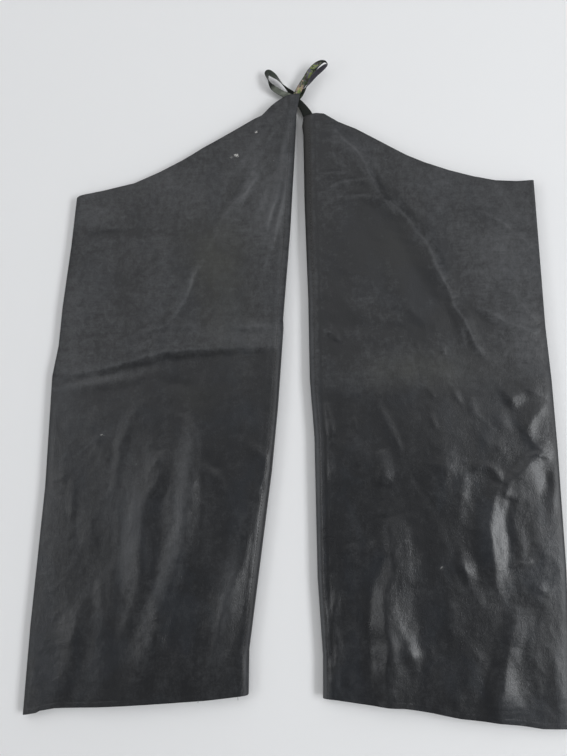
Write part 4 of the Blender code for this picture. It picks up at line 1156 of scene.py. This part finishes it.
# ---- making -------------------------------------------------------------------------------------------------------
BACK_DUST = [Patch(-200, -350, 150, 220, 0, 0.6), Patch(220, -360, 150, 210, 0, 0.6)]
face_leather, flesh = leather_face(), leather_backing()
sewing = thread()
strap_sides = {
    "left": [strap_face("strap_outer_violet", (0.010, 0.009, 0.013), (0.026, 0.022, 0.034), (0.050, 0.045, 0.060)),
             strap_printed_lining()],
    "right": [strap_face("strap_outer_green", (0.009, 0.012, 0.009), (0.024, 0.032, 0.022), (0.045, 0.050, 0.040)),
              strap_plain_lining()],
}

made = {}
for side, leg, creases, turn_line, seed in (
    ("left", LEFT_LEG, LEFT_CREASES, LEFT_TURN, 21),
    ("right", RIGHT_LEG, RIGHT_CREASES, RIGHT_TURN, 84),
):
    front, good, u, v, width, length = front_panel(
        f"{side}_front_leather", leg, creases, turn_line, seed, [face_leather, flesh])
    loose = [(0.046, 1.6, 5.5), (0.205, -1.8, 3.2)] if side == "left" else []
    stitches = stitch_row(
        f"{side}_topstitching", good, u, v, width, TOPSTITCH, STITCH_PITCH,
        0.030 if side == "left" else 0.022, 0.004, seed, sewing, loose)
    back = back_panel(
        f"{side}_back_leather", leg, LEFT_BACK_CREASES if side == "left" else RIGHT_BACK_CREASES,
        turn_line, seed + 300, [face_leather, flesh])
    made[side] = front, stitches, back
    for piece, node in ((front, f"{side}_leg_front"), (back, f"{side}_leg_back")):
        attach(piece, "root")
        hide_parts(node)
    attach(stitches, "root")

for side, stations, seed in (("left", LEFT_STRAP, 5), ("right", RIGHT_STRAP, 9)):
    strap, cut, area = strap_shell(f"{side}_strap_leather", stations, strap_sides[side], seed)
    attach(strap, "root")
    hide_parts(f"{side}_leg_strap")
    made[side] += (strap, cut, area)

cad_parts["wall_peg"].data.materials[0] = peg_wood()

# The flat cut of each piece of cloth: its widest and its longest, and the area that its slanting top leaves.
for side, size, area in (("left", (0.402, 0.990), 0.326), ("right", (0.382, 0.975), 0.322)):
    front, stitches, back, strap, strap_cut, strap_area = made[side]

# ---- stage --------------------------------------------------------------------------------------------------------
def stage_plane(name, corners, material):
    mesh = bpy.data.meshes.new(name)
    mesh.from_pydata(corners, [], [(0, 1, 2, 3)])
    mesh.materials.append(material)
    ob = bpy.data.objects.new(name, mesh)
    bpy.context.scene.collection.objects.link(ob)
    return ob


stage_plane("wall_stage", [(-4, 0.0006, -2.0), (4, 0.0006, -2.0), (4, 0.0006, 2.6), (-4, 0.0006, 2.6)],
            plain("wall_paint", (0.80, 0.80, 0.805), 0.9, from_behind=True))
stage_plane("floor_stage", [(-6, -7, -2.0), (6, -7, -2.0), (6, 5, -2.0), (-6, 5, -2.0)],
            plain("floor_paint", (0.32, 0.32, 0.315), 0.85))


def area_light(name, place, at, width, height, radiance, colour=(1, 1, 1)):
    light = bpy.data.lights.new(name, "AREA")
    light.shape = "RECTANGLE"
    light.size, light.size_y = width, height
    light.energy = radiance * pi * width * height
    light.color = colour
    ob = bpy.data.objects.new(name, light)
    ob.location = place
    ob.rotation_mode = "QUATERNION"
    ob.rotation_quaternion = (Vector(at) - Vector(place)).to_track_quat("-Z", "Y")
    bpy.context.scene.collection.objects.link(ob)
    return ob


area_light("ceiling_bank", (-0.55, -2.9, 1.3), (-0.2, 0, -0.35), 4.6, 2.0, 0.94)
area_light("right_window", (2.9, -2.7, -0.8), (0.1, 0, -0.7), 1.1, 2.2, 11.5, (0.96, 0.98, 1.0))
area_light("left_window", (-3.15, -2.7, -0.8), (-0.1, 0, -0.7), 1.1, 2.2, 3.4, (0.96, 0.98, 1.0))
area_light("behind", (0.3, 2.4, 0.6), (0, 0, -0.5), 2.4, 1.8, 2.0)

world = bpy.data.worlds.new("studio")
world.use_nodes = True
world.node_tree.nodes["Background"].inputs[0].default_value = (0.97, 0.985, 1.0, 1)
world.node_tree.nodes["Background"].inputs[1].default_value = 0.42
bpy.context.scene.world = world

# The camera stands a little over a metre off, low, and looks up at the garment.
camera = bpy.data.objects.new("camera", bpy.data.cameras.new("camera"))
bpy.context.scene.collection.objects.link(camera)
camera.data.lens = 36
camera.data.sensor_width = 36
camera.data.clip_start, camera.data.clip_end = 0.01, 50
forward = Vector((-0.1037, 0.9871, 0.1219)).normalized()
right = Vector((0.99452, 0.10453, 0)).normalized()
up = right.cross(forward).normalized()
camera.matrix_world = Matrix((
    (right.x, up.x, -forward.x, 0.1093), (right.y, up.y, -forward.y, -1.1944), (right.z, up.z, -forward.z, -0.6030),
    (0, 0, 0, 1)))
bpy.context.scene.camera = camera
bpy.context.scene.view_settings.view_transform = "Standard"
bpy.context.scene.view_settings.look = "None"
bpy.context.scene.view_settings.exposure = 0
